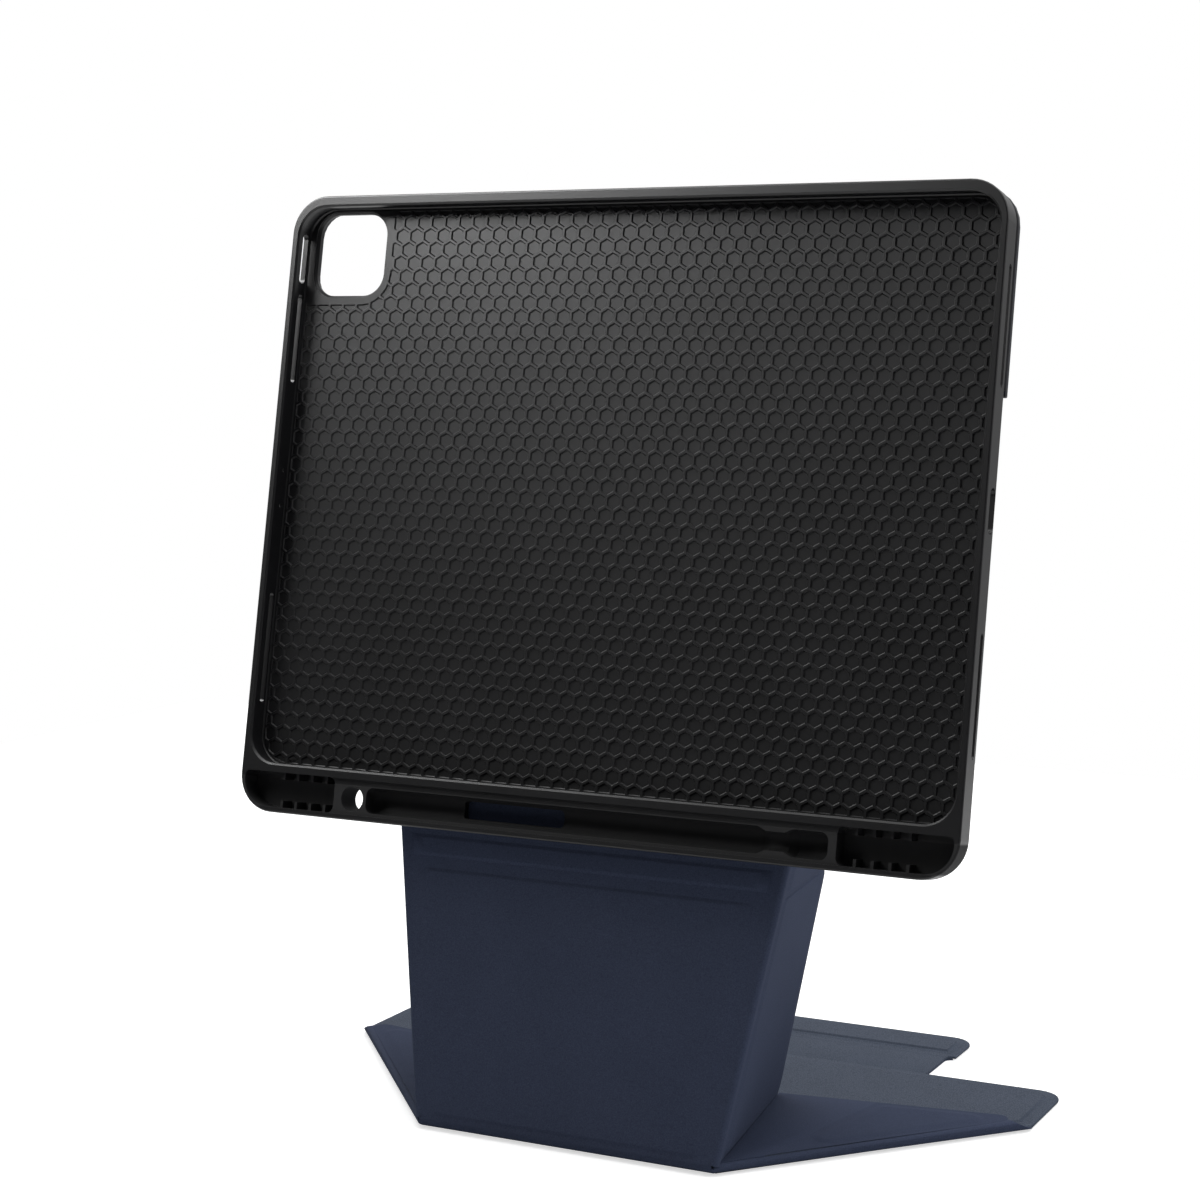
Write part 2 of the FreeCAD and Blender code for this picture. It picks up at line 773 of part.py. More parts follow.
# Cavity for the tablet, wider under the snap lip

mouth = new_sketch(shell, "shell_mouth", height=SHELL_DEPTH)
draw_outline(
    mouth,
    box_points(
        minus(less(CAVITY_HALF, "dims.lip_reach")),
        less(CAVITY_HALF, "dims.lip_reach"),
        plus(CAVITY_LOW, "dims.lip_reach"),
        less(CAVITY_HIGH, "dims.lip_reach"),
        LIP_ROUND,
    ),
)
pocket(shell, "shell_lip_opening", mouth, less(SHELL_DEPTH, "dims.shell_floor"))
cavity = new_sketch(shell, "shell_cavity", height=LIP_FOOT)
draw_outline(cavity, box_points(minus(CAVITY_HALF), CAVITY_HALF, CAVITY_LOW, CAVITY_HIGH, CAVITY_ROUND))
pocket(shell, "shell_undercut", cavity, less(LIP_FOOT, "dims.shell_floor"))

# Tray: recess, pencil groove with a pinched neck, end pockets, finger bore and floor window

recess = new_sketch(shell, "tray_recess_outline", height=SHELL_DEPTH)
tray_high = plus("dims.tray_lip", "dims.tray_width")
recess_round = "dims.tray_round"
draw_outline(
    recess,
    [
        (minus(CAVITY_HALF), "dims.tray_lip", recess_round),
        (CAVITY_HALF, "dims.tray_lip", recess_round),
        (CAVITY_HALF, tray_high, "dims.tray_corner"),
        (minus(CAVITY_HALF), tray_high, "dims.tray_corner"),
    ],
)
pocket(shell, "tray_recess_cut", recess, "dims.tray_recess")

NECK = less(GROOVE, "dims.neck_pinch")
neck_in = NECK_START
neck_full = plus(NECK_START, "dims.neck_taper")
neck_back = less(NECK_END, "dims.neck_taper")
neck_out = NECK_END
half_profile = [
    (neck_in, GROOVE),
    (neck_full, NECK),
    (neck_back, NECK),
    (neck_out, GROOVE),
]
upper = [(across, plus("dims.groove_rise", reach)) for across, reach in half_profile]
lower = [(across, less("dims.groove_rise", reach)) for across, reach in half_profile]
lower.reverse()
end_round = "dims.groove_end_round"
groove_points = [(minus(GROOVE_LEFT), plus("dims.groove_rise", GROOVE), end_round)]
groove_points += upper
groove_points.append((GROOVE_RIGHT, plus("dims.groove_rise", GROOVE), end_round))
groove_points.append((GROOVE_RIGHT, less("dims.groove_rise", GROOVE), end_round))
groove_points += lower
groove_points.append((minus(GROOVE_LEFT), less("dims.groove_rise", GROOVE), end_round))
groove_mouth = new_sketch(shell, "groove_mouth", height=SHELL_DEPTH)
draw_outline(groove_mouth, groove_points)
pocket(shell, "groove_opening", groove_mouth, less(SHELL_DEPTH, GROOVE_AXIS))

turned_profile = new_sketch(shell, "groove_profile", "XZ_Plane", minus("dims.groove_rise"))
turned_profile.setExpression("AttachmentOffset.Base.y", GROOVE_AXIS)
profile_points = [(minus(GROOVE_LEFT), "0"), (GROOVE_RIGHT, "0")]
profile_points.append((GROOVE_RIGHT, GROOVE, end_round))
profile_points += list(reversed(half_profile))
profile_points.append((minus(GROOVE_LEFT), GROOVE, end_round))
draw_outline(turned_profile, profile_points)
before = shell.Shape.Volume
trough = shell.newObject("PartDesign::Groove", "groove_round")
trough.Profile = turned_profile
trough.ReferenceAxis = (turned_profile, ["H_Axis"])
trough.Angle = 360
turned_profile.Visibility = False
doc.recompute()
if not shell.Shape.Volume < before - 1:
    raise RuntimeError("groove_round removed nothing")

for name, side, inner in (("left", -1, POCKET_LEFT_IN), ("right", 1, POCKET_RIGHT_IN)):
    hollow = new_sketch(shell, "end_pocket_" + name, height=SHELL_DEPTH)
    pocket_points = [
        (inner, "dims.tray_lip", "dims.pocket_round"),
        (CAVITY_HALF, "dims.tray_lip", recess_round),
        (CAVITY_HALF, tray_high, "dims.tray_corner"),
        (inner, tray_high, "dims.pocket_round"),
    ]
    draw_outline(hollow, flip(pocket_points, side))
    pocket(shell, "end_pocket_cut_" + name, hollow, less(SHELL_DEPTH, "dims.pocket_floor"))

rib_low = less("dims.tray_lip", "dims.rib_root")
rib_high = plus(tray_high, "dims.rib_root")
rib_first = less(CAVITY_HALF, "dims.rib_outer")
for name, first in (("left", minus(rib_first)), ("right", less(rib_first, "3 * dims.rib_pitch"))):
    ribs = new_sketch(shell, "rib_outline_" + name, height="dims.pocket_floor")
    for low, high in (
        (rib_low, plus("dims.tray_lip", "dims.rib_length")),
        (less(tray_high, "dims.rib_length"), rib_high),
    ):
        left = less(first, "dims.rib_width / 2")
        draw_outline(ribs, box_points(left, plus(left, "dims.rib_width"), low, high))
    raised = pad(shell, "rib_" + name, ribs, "dims.rib_height")
    row = shell.newObject("PartDesign::LinearPattern", "rib_row_" + name)
    row.Originals = [raised]
    row.Direction = (ribs, ["H_Axis"])
    row.Mode = "Spacing"
    row.Occurrences = 4
    row.setExpression("Offset", "dims.rib_pitch")
    shell.Tip = row
    doc.recompute()

bore = new_sketch(shell, "finger_bore_outline", height=SHELL_DEPTH)
draw_circle(bore, minus(BORE_ACROSS), "dims.groove_rise", "dims.bore_diameter / 2")
pocket(shell, "finger_bore", bore, SHELL_DEPTH)
window = new_sketch(shell, "floor_window_outline", height=GROOVE_AXIS)
draw_outline(
    window,
    box_points(
        minus("dims.window_left"),
        minus("dims.window_right"),
        less("dims.groove_rise", "dims.window_width / 2"),
        plus("dims.groove_rise", "dims.window_width / 2"),
        "dims.window_round",
    ),
)
pocket(shell, "floor_window", window, GROOVE_AXIS)

# Camera hole and wall openings

camera = new_sketch(shell, "camera_outline", height="dims.shell_floor")
draw_outline(
    camera,
    box_points(
        "(-" + CAMERA_ACROSS + " - dims.camera_width / 2)",
        "(-" + CAMERA_ACROSS + " + dims.camera_width / 2)",
        "(dims.camera_rise - dims.camera_height / 2)",
        "(dims.camera_rise + dims.camera_height / 2)",
        "dims.camera_round",
    ),
)
pocket(shell, "camera_hole", camera, "dims.shell_floor")
camera_edges = []
for index, edge in enumerate(shell.Tip.Shape.Edges, start=1):
    box = edge.BoundBox
    level = number("dims.shell_floor")
    if abs(box.ZMin - level) > 1e-4 or abs(box.ZMax - level) > 1e-4:
        continue
    near_x = abs(box.Center.x + number(CAMERA_ACROSS)) < number("dims.camera_width") / 2 + 0.1
    near_y = abs(box.Center.y - number("dims.camera_rise")) < number("dims.camera_height") / 2 + 0.1
    if near_x and near_y:
        camera_edges.append("Edge%d" % index)
dress(shell, "camera_bevel", "Chamfer", camera_edges, "Size", "dims.camera_chamfer")


def wall_slot(sketch, rise, length, width, radius):
    draw_outline(
        sketch,
        box_points(
            less(rise, length + " / 2"),
            plus(rise, length + " / 2"),
            less(SLOT_RISE, width + " / 2"),
            plus(SLOT_RISE, width + " / 2"),
            radius,
        ),
    )


SLOT_END = "(dims.slot_width * 0.49)"
wall_depth = "(dims.side_wall + 2 * dims.wall_cut)"
right_wall = new_sketch(shell, "right_wall_openings", "YZ_Plane", plus(SHEET_HALF, "dims.wall_cut"))
wall_slot(right_wall, "dims.slot_low_rise", "dims.slot_long", "dims.slot_width", SLOT_END)
wall_slot(right_wall, "dims.slot_high_right", "dims.slot_long", "dims.slot_width", SLOT_END)
wall_slot(right_wall, "dims.port_rise", "dims.port_length", "dims.port_width", "dims.port_round")
pocket(shell, "right_wall_cut", right_wall, wall_depth)
left_wall = new_sketch(shell, "left_wall_openings", "YZ_Plane", minus(less(CAVITY_HALF, "dims.wall_cut")))
wall_slot(left_wall, "dims.slot_low_rise", "dims.slot_long", "dims.slot_width", SLOT_END)
wall_slot(left_wall, "dims.slot_high_left", "dims.slot_short", "dims.slot_width", SLOT_END)
wall_slot(left_wall, "dims.button_rise", "dims.button_length", "dims.button_width", "(dims.button_width * 0.49)")
draw_circle(left_wall, "dims.mic_high", SLOT_RISE, "dims.mic_diameter / 2")
draw_circle(left_wall, "dims.mic_low", SLOT_RISE, "dims.mic_diameter / 2")
pocket(shell, "left_wall_cut", left_wall, wall_depth)

# Bevel on the front of the snap lip

lip_edges = []
lip_half = number(less(CAVITY_HALF, "dims.lip_reach"))
for index, edge in enumerate(shell.Tip.Shape.Edges, start=1):
    box = edge.BoundBox
    level = number(SHELL_DEPTH)
    if abs(box.ZMin - level) > 1e-4 or abs(box.ZMax - level) > 1e-4:
        continue
    inside = abs(box.Center.x) < lip_half + 0.05
    above = box.YMin > number(CAVITY_LOW) + number("dims.lip_reach") - 0.05
    below = box.YMax < number(CAVITY_HIGH) - number("dims.lip_reach") + 0.05
    if inside and above and below:
        lip_edges.append("Edge%d" % index)
dress(shell, "lip_bevel", "Chamfer", lip_edges, "Size", "dims.lip_chamfer")
shell.Placement = shell_place
nodes.append(shell)

# Check every object, then write one file for each node

doc.recompute()
for item in doc.Objects:
    if "Invalid" in item.State or "Error" in item.State:
        raise RuntimeError(item.Name + " is not valid")
os.makedirs("parts", exist_ok=True)
for node in nodes:
    shape = node.Shape
    if shape.isNull() or not shape.isValid():
        raise RuntimeError(node.Label + " has no valid shape")
    shape.exportStep("parts/" + node.Label + ".step")
    box = shape.BoundBox
    print("%-22s solids %d volume %9.1f  z %7.2f to %7.2f" % (
        node.Label, len(shape.Solids), shape.Volume, box.ZMin, box.ZMax))
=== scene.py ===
import math

import bpy
from mathutils import Matrix, Vector


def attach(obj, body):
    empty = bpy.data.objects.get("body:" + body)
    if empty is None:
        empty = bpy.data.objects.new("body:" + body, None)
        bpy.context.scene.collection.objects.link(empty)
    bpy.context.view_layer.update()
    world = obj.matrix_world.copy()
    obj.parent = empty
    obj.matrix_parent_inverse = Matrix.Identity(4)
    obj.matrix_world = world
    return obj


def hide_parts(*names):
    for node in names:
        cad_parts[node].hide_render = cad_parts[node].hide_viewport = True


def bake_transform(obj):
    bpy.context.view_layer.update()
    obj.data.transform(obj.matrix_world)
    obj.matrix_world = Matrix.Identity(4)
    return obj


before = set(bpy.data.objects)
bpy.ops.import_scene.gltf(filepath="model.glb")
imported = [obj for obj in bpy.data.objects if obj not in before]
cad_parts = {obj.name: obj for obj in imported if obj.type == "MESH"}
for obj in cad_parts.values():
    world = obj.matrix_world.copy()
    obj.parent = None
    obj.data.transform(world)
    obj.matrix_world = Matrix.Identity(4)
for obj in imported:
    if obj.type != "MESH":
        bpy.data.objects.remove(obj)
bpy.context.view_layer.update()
MM = 0.001

# Angles in degrees: the column's lean, the gusset's fold and the web's edge, both from the front fold
LEAN = 11.14
GUSSET_ANGLE = 49.2
WEB_ANGLE = 20.0
# The sheet in millimetres: x across it, s up the column and, below zero, back along the base
FOLD_HALF = 58.4
FOLD_PLACE = -70.0
SHEET_HALF = 142.5
LEG_TOP = 94.5
SPINE_TOP = 106.5
HINGE = 270.0
TOP_EDGE = 342.9
WING_TOP = 262.0
WING_OUTER = 250.0
BASE_DEPTH = 141.0
STRIP_WIDTH = 26.0
STRIP_HALF = 87.0
TAB_WIDTH = 27.0
TAB_HALF = 90.0
WEB_START = 18.0
# Levels through the sheet, from the outside, and the gaps at its creases
THICK = 2.4
BOARD_TOP = 1.8
FOLD_GAP = 0.3
CREASE_GAP = 0.4
# The moulding: its foot on the sheet, its back above the sheet's outside, its floor and its camera window
SHELL_FOOT = 106.9
SHELL_BACK = 2.7
SHELL_FLOOR = 2.0
WINDOW_LEFT = -137.2
WINDOW_RIGHT = -105.2
WINDOW_LOW = 198.25
WINDOW_HIGH = 231.95
WINDOW_ROUND = 9.5

TURN = math.radians(GUSSET_ANGLE)
WEB_TURN = math.radians(WEB_ANGLE)
SLOPE = math.sin(math.radians(LEAN)) / math.tan(TURN)
SLANT = math.sqrt(1 + SLOPE * SLOPE)
WEB_X = FOLD_HALF + WEB_START * math.cos(TURN)
WEB_S = -WEB_START * math.sin(TURN)
# Cotangent of half the angle between wing and gusset at rest; both skins stop on the plane between them
MITRE = 1 / math.tan(math.radians((90 - LEAN) / 2))
MITRE_GAP = 0.12

# How far the unboarded edges sit back from the boarded faces
LINING_STEP = 0.5
LEATHER_STEP = 0.45
BORDER_STEP = 1.0
# Clearance between the glued skins, the lining's cut back from the cover, and the softened edges
SKIN_GAP = 0.01
LINING_TRIM = 0.02
LEATHER_EDGE = 0.5
LINING_EDGE = 0.08
COVER_BACK = BOARD_TOP - SKIN_GAP
# Corner rounds of the panels, and of the raised fields on them
PANEL_CORNER = 10.0
TOP_CORNER = 14.2
FIELD_CORNER = 6.5
GUSSET_CORNER = 8.0
BASE_FIELD_TRIM = 0.35
SPINE_REACH = 0.6
# The wing's free edge is notched at the spine band, where the wing creases
WING_FOOT_ROUND = 9.0
WING_TOP_ROUND = 3.0
WING_NOTCH = 6.0
NOTCH_LOW = LEG_TOP - 3.9
NOTCH_HIGH = SPINE_TOP + 1.6
NOTCH_SLANT = 2.2
NOTCH_ROUND = 1.5
NOTCH_LOW_ROUND = 3.5
NOTCH_HIGH_ROUND = 4.5
# The wing's lower crease slants down towards the free edge
WING_CREASE_IN = LEG_TOP + 1.0
WING_CREASE_OUT = LEG_TOP - 1.5
WING_FIELD_ROUND = 3.2
WING_FIELD_FOOT = 8.0
WING_FIELD_CREASE = 6.0
WING_BAND_BACK = 0.5
# The skins stop this far before a rounded fold; radii of the front fold and of the wings' folds
ROLL_TRIM = 1.35
ROLL_RADIUS = 3.2
WING_ROLL_RADIUS = 1.9
# Round of the gusset's free edge at the end of its fold, and how far the fold's roll draws back there
FOLD_END_ROUND = 4.4
FOLD_END_BACK = 8.7


def column_matrix():
    return Matrix.Translation((0, FOLD_PLACE, THICK)) @ Matrix.Rotation(math.radians(90 - LEAN), 4, "X")


def base_matrix():
    return Matrix.Translation((0, FOLD_PLACE, THICK)) @ Matrix.Rotation(math.pi, 4, "X")


def about(matrix, centre, axis, degrees):
    turn = Matrix.Rotation(math.radians(degrees), 4, Vector(axis).normalized())
    return matrix @ Matrix.Translation(centre) @ turn @ Matrix.Translation(-Vector(centre))


def wing_turn():
    crease_line = (column_matrix().to_3x3() @ Vector((SLOPE, 1, 0))).normalized()
    across = Vector((1, 0, 0))
    foot = Vector((math.cos(2 * TURN), math.sin(2 * TURN), 0))
    flat = across - crease_line * across.dot(crease_line)
    folded = foot - crease_line * foot.dot(crease_line)
    return math.degrees(flat.angle(folded))


def wing_matrix(side):
    return about(column_matrix(), (side * FOLD_HALF, 0, 0), (side * SLOPE, 1, 0), side * wing_turn())


def gusset_matrix(side):
    centre = (side * FOLD_HALF, 0, -FOLD_GAP / 2)
    return about(base_matrix(), centre, (side * math.cos(TURN), -math.sin(TURN), 0), -side * 180)


def shell_matrix():
    return column_matrix() @ Matrix.Translation((0, SHELL_FOOT, SHELL_BACK))


# Materials

def linear(code):
    values = []
    for start in (1, 3, 5):
        value = int(code[start:start + 2], 16) / 255
        values.append(value / 12.92 if value <= 0.04045 else ((value + 0.055) / 1.055) ** 2.4)
    return (*values, 1.0)


def add_node(material, kind, settings=None, inputs=None, links=None):
    """Adds a node, sets its properties and sockets, and links sockets from other nodes' outputs."""
    tree = material.node_tree
    node = tree.nodes.new(kind)
    for name, value in (settings or {}).items():
        setattr(node, name, value)
    for name, value in (inputs or {}).items():
        node.inputs[name].default_value = value
    for name, (source, output) in (links or {}).items():
        tree.links.new(source.outputs[output], node.inputs[name])
    return node


def noise(material, place, size, detail, roughness=0.5):
    """Noise with patches about the given number of millimetres wide."""
    return add_node(material, "ShaderNodeTexNoise",
                    inputs={"Scale": 1 / (size * MM), "Detail": detail, "Roughness": roughness},
                    links={"Vector": (place, "Object")})


def maths(material, operation, *values):
    """Math node; each value is a number, or a node with the name or number of its output."""
    numbers = {i: value for i, value in enumerate(values) if not isinstance(value, tuple)}
    links = {i: value for i, value in enumerate(values) if isinstance(value, tuple)}
    return add_node(material, "ShaderNodeMath", {"operation": operation}, numbers, links)


def remap(material, value, source, target, kind="LINEAR"):
    inputs = {"From Min": source[0], "From Max": source[1], "To Min": target[0], "To Max": target[1]}
    return add_node(material, "ShaderNodeMapRange", {"interpolation_type": kind}, inputs, {"Value": value})


def two_tones(material, value, dark, light, low=0.0, high=1.0):
    ramp = add_node(material, "ShaderNodeValToRGB", links={"Fac": value})
    for element, position, code in zip(ramp.color_ramp.elements, (low, high), (dark, light)):
        element.position = position
        element.color = linear(code)
    return ramp


def relief(material, height, strength, depth):
    return add_node(material, "ShaderNodeBump", inputs={"Strength": strength, "Distance": depth * MM},
                    links={"Height": height})


def new_material(name):
    material = bpy.data.materials.new(name)
    material.use_nodes = True
    material.node_tree.nodes.clear()
    return material


def finish_material(material, shader):
    add_node(material, "ShaderNodeOutputMaterial", links={"Surface": (shader, 0)})
    return material


def microfibre():
    """Short-pile microfibre: even nap, fine speckle, faint cloudy brushing, a dull sheen at grazing angles."""
    material = new_material("navy_microfibre")
    place = add_node(material, "ShaderNodeTexCoord")
    # brushing shows as soft clouds a few centimetres wide
    cloud = noise(material, place, 26, 3.0, 0.55)
    # real fibres are about 0.02 mm; the tufts are drawn at 0.45 mm so that they show
    tuft = noise(material, place, 0.45, 3.0, 0.75)
    tone = maths(material, "MULTIPLY_ADD", (cloud, "Fac"), 0.14, (tuft, "Fac"))
    colour = two_tones(material, (tone, 0), "#2f3648", "#434a5f", 0.34, 0.80)
    rough = remap(material, (tuft, "Fac"), (0.0, 1.0), (0.8, 0.95))
    bump = relief(material, (tuft, "Fac"), 0.3, 0.10)
    shader = add_node(material, "ShaderNodeBsdfPrincipled",
                      inputs={"Specular IOR Level": 0.06, "Sheen Weight": 0.04, "Sheen Roughness": 0.4,
                              "Sheen Tint": linear("#8e99b6")},
                      links={"Base Color": (colour, "Color"), "Roughness": (rough, 0), "Normal": (bump, 0)})
    return finish_material(material, shader)


def leather():
    """Embossed polyurethane leather: pebble grain in fine cells, slightly polished on its high spots."""
    material = new_material("navy_synthetic_leather")
    place = add_node(material, "ShaderNodeTexCoord")
    # pebbles of about 0.8 mm, as on thin case leather
    cells = add_node(material, "ShaderNodeTexVoronoi", {"feature": "DISTANCE_TO_EDGE"},
                     {"Scale": 1 / (0.8 * MM), "Randomness": 1.0}, {"Vector": (place, "Object")})
    cloud = noise(material, place, 14, 3.0)
    pore = noise(material, place, 0.35, 2.0)
    lift = remap(material, (cells, "Distance"), (0.0, 0.22), (0.0, 1.0), "SMOOTHSTEP")
    share = maths(material, "MULTIPLY", (lift, 0), 0.55)
    tone = maths(material, "MULTIPLY_ADD", (cloud, "Fac"), 0.35, (share, 0))
    colour = two_tones(material, (tone, 0), "#3b424f", "#4a5261", 0.1, 0.85)
    rough = remap(material, (lift, 0), (0.0, 1.0), (0.72, 0.58))
    height = maths(material, "MULTIPLY_ADD", (pore, "Fac"), 0.25, (lift, 0))
    bump = relief(material, (height, 0), 0.4, 0.06)
    shader = add_node(material, "ShaderNodeBsdfPrincipled", inputs={"IOR": 1.48, "Specular IOR Level": 0.1},
                      links={"Base Color": (colour, "Color"), "Roughness": (rough, 0), "Normal": (bump, 0)})
    return finish_material(material, shader)


# The tray's inside has painted shade, its gloss turned down and its roughness raised: fully so near a line
# this far up the moulding, and not beyond the last distance
TRAY_MIDDLE = 7.5
TRAY_FULL = 4.8
TRAY_END = 5.8
TRAY_SHADE_DULL = 0.36


def moulded_tpu():
    """Black thermoplastic polyurethane from a spark-eroded mould: a soft broad gloss, with painted shade in
    the tray, where its gloss is turned down.
    """
    material = new_material("black_moulded_tpu")
    place = add_node(material, "ShaderNodeTexCoord")
    # spark-eroded texture is about 0.05 mm; drawn at 0.25 mm so that it shows
    grain = noise(material, place, 0.25, 3.0, 0.65)
    flow = noise(material, place, 40, 3.0)
    colour = two_tones(material, (flow, "Fac"), "#161618", "#1c1c1e", 0.3, 0.7)
    rough = remap(material, (grain, "Fac"), (0.0, 1.0), (0.31, 0.39))
    # painted shade in the tray: its gloss is turned down and its roughness raised where the groove lies in
    # shade
    up_shell = shell_matrix().to_3x3() @ Vector((0, 1, 0))
    foot = shell_matrix().translation.dot(up_shell)
    rise = add_node(material, "ShaderNodeVectorMath", {"operation": "DOT_PRODUCT"},
                    {1: tuple(up_shell)}, {0: (place, "Object")})
    centre = maths(material, "SUBTRACT", (rise, "Value"), (foot + TRAY_MIDDLE) * MM)
    away = maths(material, "ABSOLUTE", (centre, 0))
    tray = remap(material, (away, 0), (TRAY_FULL * MM, TRAY_END * MM), (TRAY_SHADE_DULL, 0.0), "SMOOTHSTEP")
    dull = maths(material, "ADD", (rough, 0), (tray, 0))
    # painted shade: the tray's gloss is turned down
    shaded_gleam = remap(material, (tray, 0), (0.0, TRAY_SHADE_DULL), (0.5, 0.28))
    bump = relief(material, (grain, "Fac"), 0.25, 0.04)
    shader = add_node(material, "ShaderNodeBsdfPrincipled", inputs={"IOR": 1.5},
                      links={"Base Color": (colour, "Color"), "Roughness": (dull, 0),
                             "Specular IOR Level": (shaded_gleam, 0), "Normal": (bump, 0)})
    return finish_material(material, shader)


def plain_inner(name, dark, light, grain_mm, metallic, roughness):
    """Plain piece of the sandwich: pressed board, plated steel, film or edge paint, with a fine even grain."""
    material = new_material(name)
    place = add_node(material, "ShaderNodeTexCoord")
    grain = noise(material, place, grain_mm, 3.0)
    colour = two_tones(material, (grain, "Fac"), dark, light)
    shader = add_node(material, "ShaderNodeBsdfPrincipled",
                      inputs={"Metallic": metallic, "Roughness": roughness},
                      links={"Base Color": (colour, "Color")})
    return finish_material(material, shader)


# Finishes of the pieces made here, each with its slot, and plain materials of the inner pieces
LINING = (microfibre(), "lining_fabric")
LEATHER = (leather(), "cover_leather")
TPU = (moulded_tpu(), "shell_tpu")
BOARD = plain_inner("pressed_greyboard", "#8a857a", "#a39e92", 0.6, 0.0, 0.85)
STEEL = plain_inner("nickel_plated_steel", "#8f9194", "#a9abad", 0.8, 1.0, 0.32)
EDGE = plain_inner("black_edge_paint", "#2a2b2e", "#333438", 0.7, 0.0, 0.55)
FILM = plain_inner("acrylic_film_adhesive", "#c9c7bd", "#d8d6cc", 1.5, 0.0, 0.4)


# Modelling helpers

def clear_selection():
    if bpy.context.mode != "OBJECT":
        bpy.ops.object.mode_set(mode="OBJECT")
    bpy.ops.object.select_all(action="DESELECT")


def take(obj):
    clear_selection()
    obj.select_set(True)
    bpy.context.view_layer.objects.active = obj


def edit(obj):
    take(obj)
    bpy.ops.object.mode_set(mode="EDIT")


def edit_all(obj):
    edit(obj)
    bpy.ops.mesh.select_all(action="SELECT")


def leave():
    bpy.ops.object.mode_set(mode="OBJECT")


def face_outwards(obj):
    edit_all(obj)
    bpy.ops.mesh.normals_make_consistent(inside=False)
    leave()


def pull(obj, distance):
    """Extrudes a flat piece straight up."""
    edit_all(obj)
    bpy.ops.mesh.extrude_region_move(TRANSFORM_OT_translate={"value": (0, 0, distance)})
    leave()


def cut(obj, spot, normal, **cleared):
    """Cuts a piece along a plane and closes the cut."""
    edit_all(obj)
    bpy.ops.mesh.bisect(plane_co=spot, plane_no=normal, use_fill=True, **cleared)
    leave()


def pick_faces(obj, wanted):
    """Opens a piece with only the wanted faces selected."""
    edit(obj)
    bpy.ops.mesh.select_mode(type="FACE")
    bpy.ops.mesh.select_all(action="DESELECT")
    leave()
    for face in obj.data.polygons:
        face.select = wanted(face)
    edit(obj)


def ngon(name, points, level):
    """Flat face through the given points, in sheet millimetres at one level."""
    clear_selection()
    bpy.ops.mesh.primitive_circle_add(vertices=len(points), radius=1.0, fill_type="NGON")
    obj = bpy.context.object
    obj.name = name
    obj.data.name = name
    for vertex, point in zip(obj.data.vertices, points):
        vertex.co = (point[0], point[1], level)
    return obj


def round_points(points, segments=6):
    """Corner list with each rounded corner turned into an arc; a third entry is the radius."""
    result = []
    count = len(points)
    for i, point in enumerate(points):
        here = Vector(point[:2])
        if len(point) < 3 or point[2] <= 0:
            result.append((here.x, here.y))
            continue
        back = (Vector(points[i - 1][:2]) - here).normalized()
        ahead = (Vector(points[(i + 1) % count][:2]) - here).normalized()
        half = back.angle(ahead) / 2
        radius = point[2]
        middle = here + (back + ahead).normalized() * (radius / math.sin(half))
        first = here + back * (radius / math.tan(half)) - middle
        last = here + ahead * (radius / math.tan(half)) - middle
        sweep = first.angle_signed(last)
        for k in range(segments + 1):
            turn = Matrix.Rotation(-sweep * k / segments, 2)
            spot = middle + turn @ first
            result.append((spot.x, spot.y))
    return result


def signed_area(points):
    following = points[1:] + points[:1]
    return sum(a[0] * b[1] - b[0] * a[1] for a, b in zip(points, following)) / 2


def inset_points(points, amount):
    """Straight inset of a corner list; radii shrink with it."""
    count = len(points)
    sign = 1 if signed_area(points) > 0 else -1
    lines = []
    for i in range(count):
        a = Vector(points[i][:2])
        b = Vector(points[(i + 1) % count][:2])
        along = (b - a).normalized()
        normal = Vector((-along.y, along.x)) * sign
        lines.append((a + normal * amount, along))
    result = []
    for i in range(count):
        p, u = lines[i - 1]
        q, v = lines[i]
        cross = u.x * v.y - u.y * v.x
        step = ((q.x - p.x) * v.y - (q.y - p.y) * v.x) / cross
        spot = p + u * step
        radius = max((points[i][2] if len(points[i]) > 2 else 0) - amount, 0)
        result.append((spot.x, spot.y, radius))
    return result


def mirror_points(points, side):
    if side > 0:
        return points
    return [(-point[0],) + tuple(point[1:]) for point in reversed(points)]


def box_points(left, right, low, high, radius):
    return [(left, low, radius), (right, low, radius), (right, high, radius), (left, high, radius)]


def window_points(foot):
    """The camera window, where the moulding's foot lies at the given height."""
    return box_points(WINDOW_LEFT, WINDOW_RIGHT, foot + WINDOW_LOW, foot + WINDOW_HIGH, WINDOW_ROUND)


def slab(name, points, low, high):
    """Flat sheet between two levels."""
    obj = ngon(name, round_points(points), low)
    pull(obj, high - low)
    face_outwards(obj)
    return obj


# Slopes up to a raised field, as shares of its width and height: a soft step, and a border with a groove
SOFT = ((0.3, 0.18), (0.4, 0.64), (0.3, 0.18))
BORDER = ((0.16, 0.26), (0.48, 0.03), (0.06, 0.1), (0.17, 0.5), (0.13, 0.11))
# A field's foot lies this deep in the skin, and its root this much deeper
FIELD_SINK = 0.02
FIELD_ROOT = 0.15


def pad(name, points, foot, top, slope, steps, fade):
    """Raised field where a board lies under the skin: a closed pad, its ends drawn out along x by fade."""
    up = 1 if top > foot else -1
    obj = slab(name, points, foot - FIELD_ROOT * up, foot)
    half = obj.dimensions.x / 2
    pick_faces(obj, lambda face: face.normal.z * up > 0.9)
    for share, height in steps:
        bpy.ops.mesh.inset(thickness=slope * share, depth=abs(top - foot) * height, use_even_offset=True)
        if fade:
            bpy.ops.transform.resize(value=(1 - fade * share / half, 1, 1))
    leave()
    return obj


def modifier(obj, kind, **settings):
    take(obj)
    item = obj.modifiers.new(kind.lower(), kind)
    for key, value in settings.items():
        setattr(item, key, value)
    bpy.ops.object.modifier_apply(modifier=item.name)


def merge(obj, other, operation="UNION"):
    modifier(obj, "BOOLEAN", operation=operation, object=other, solver="EXACT")


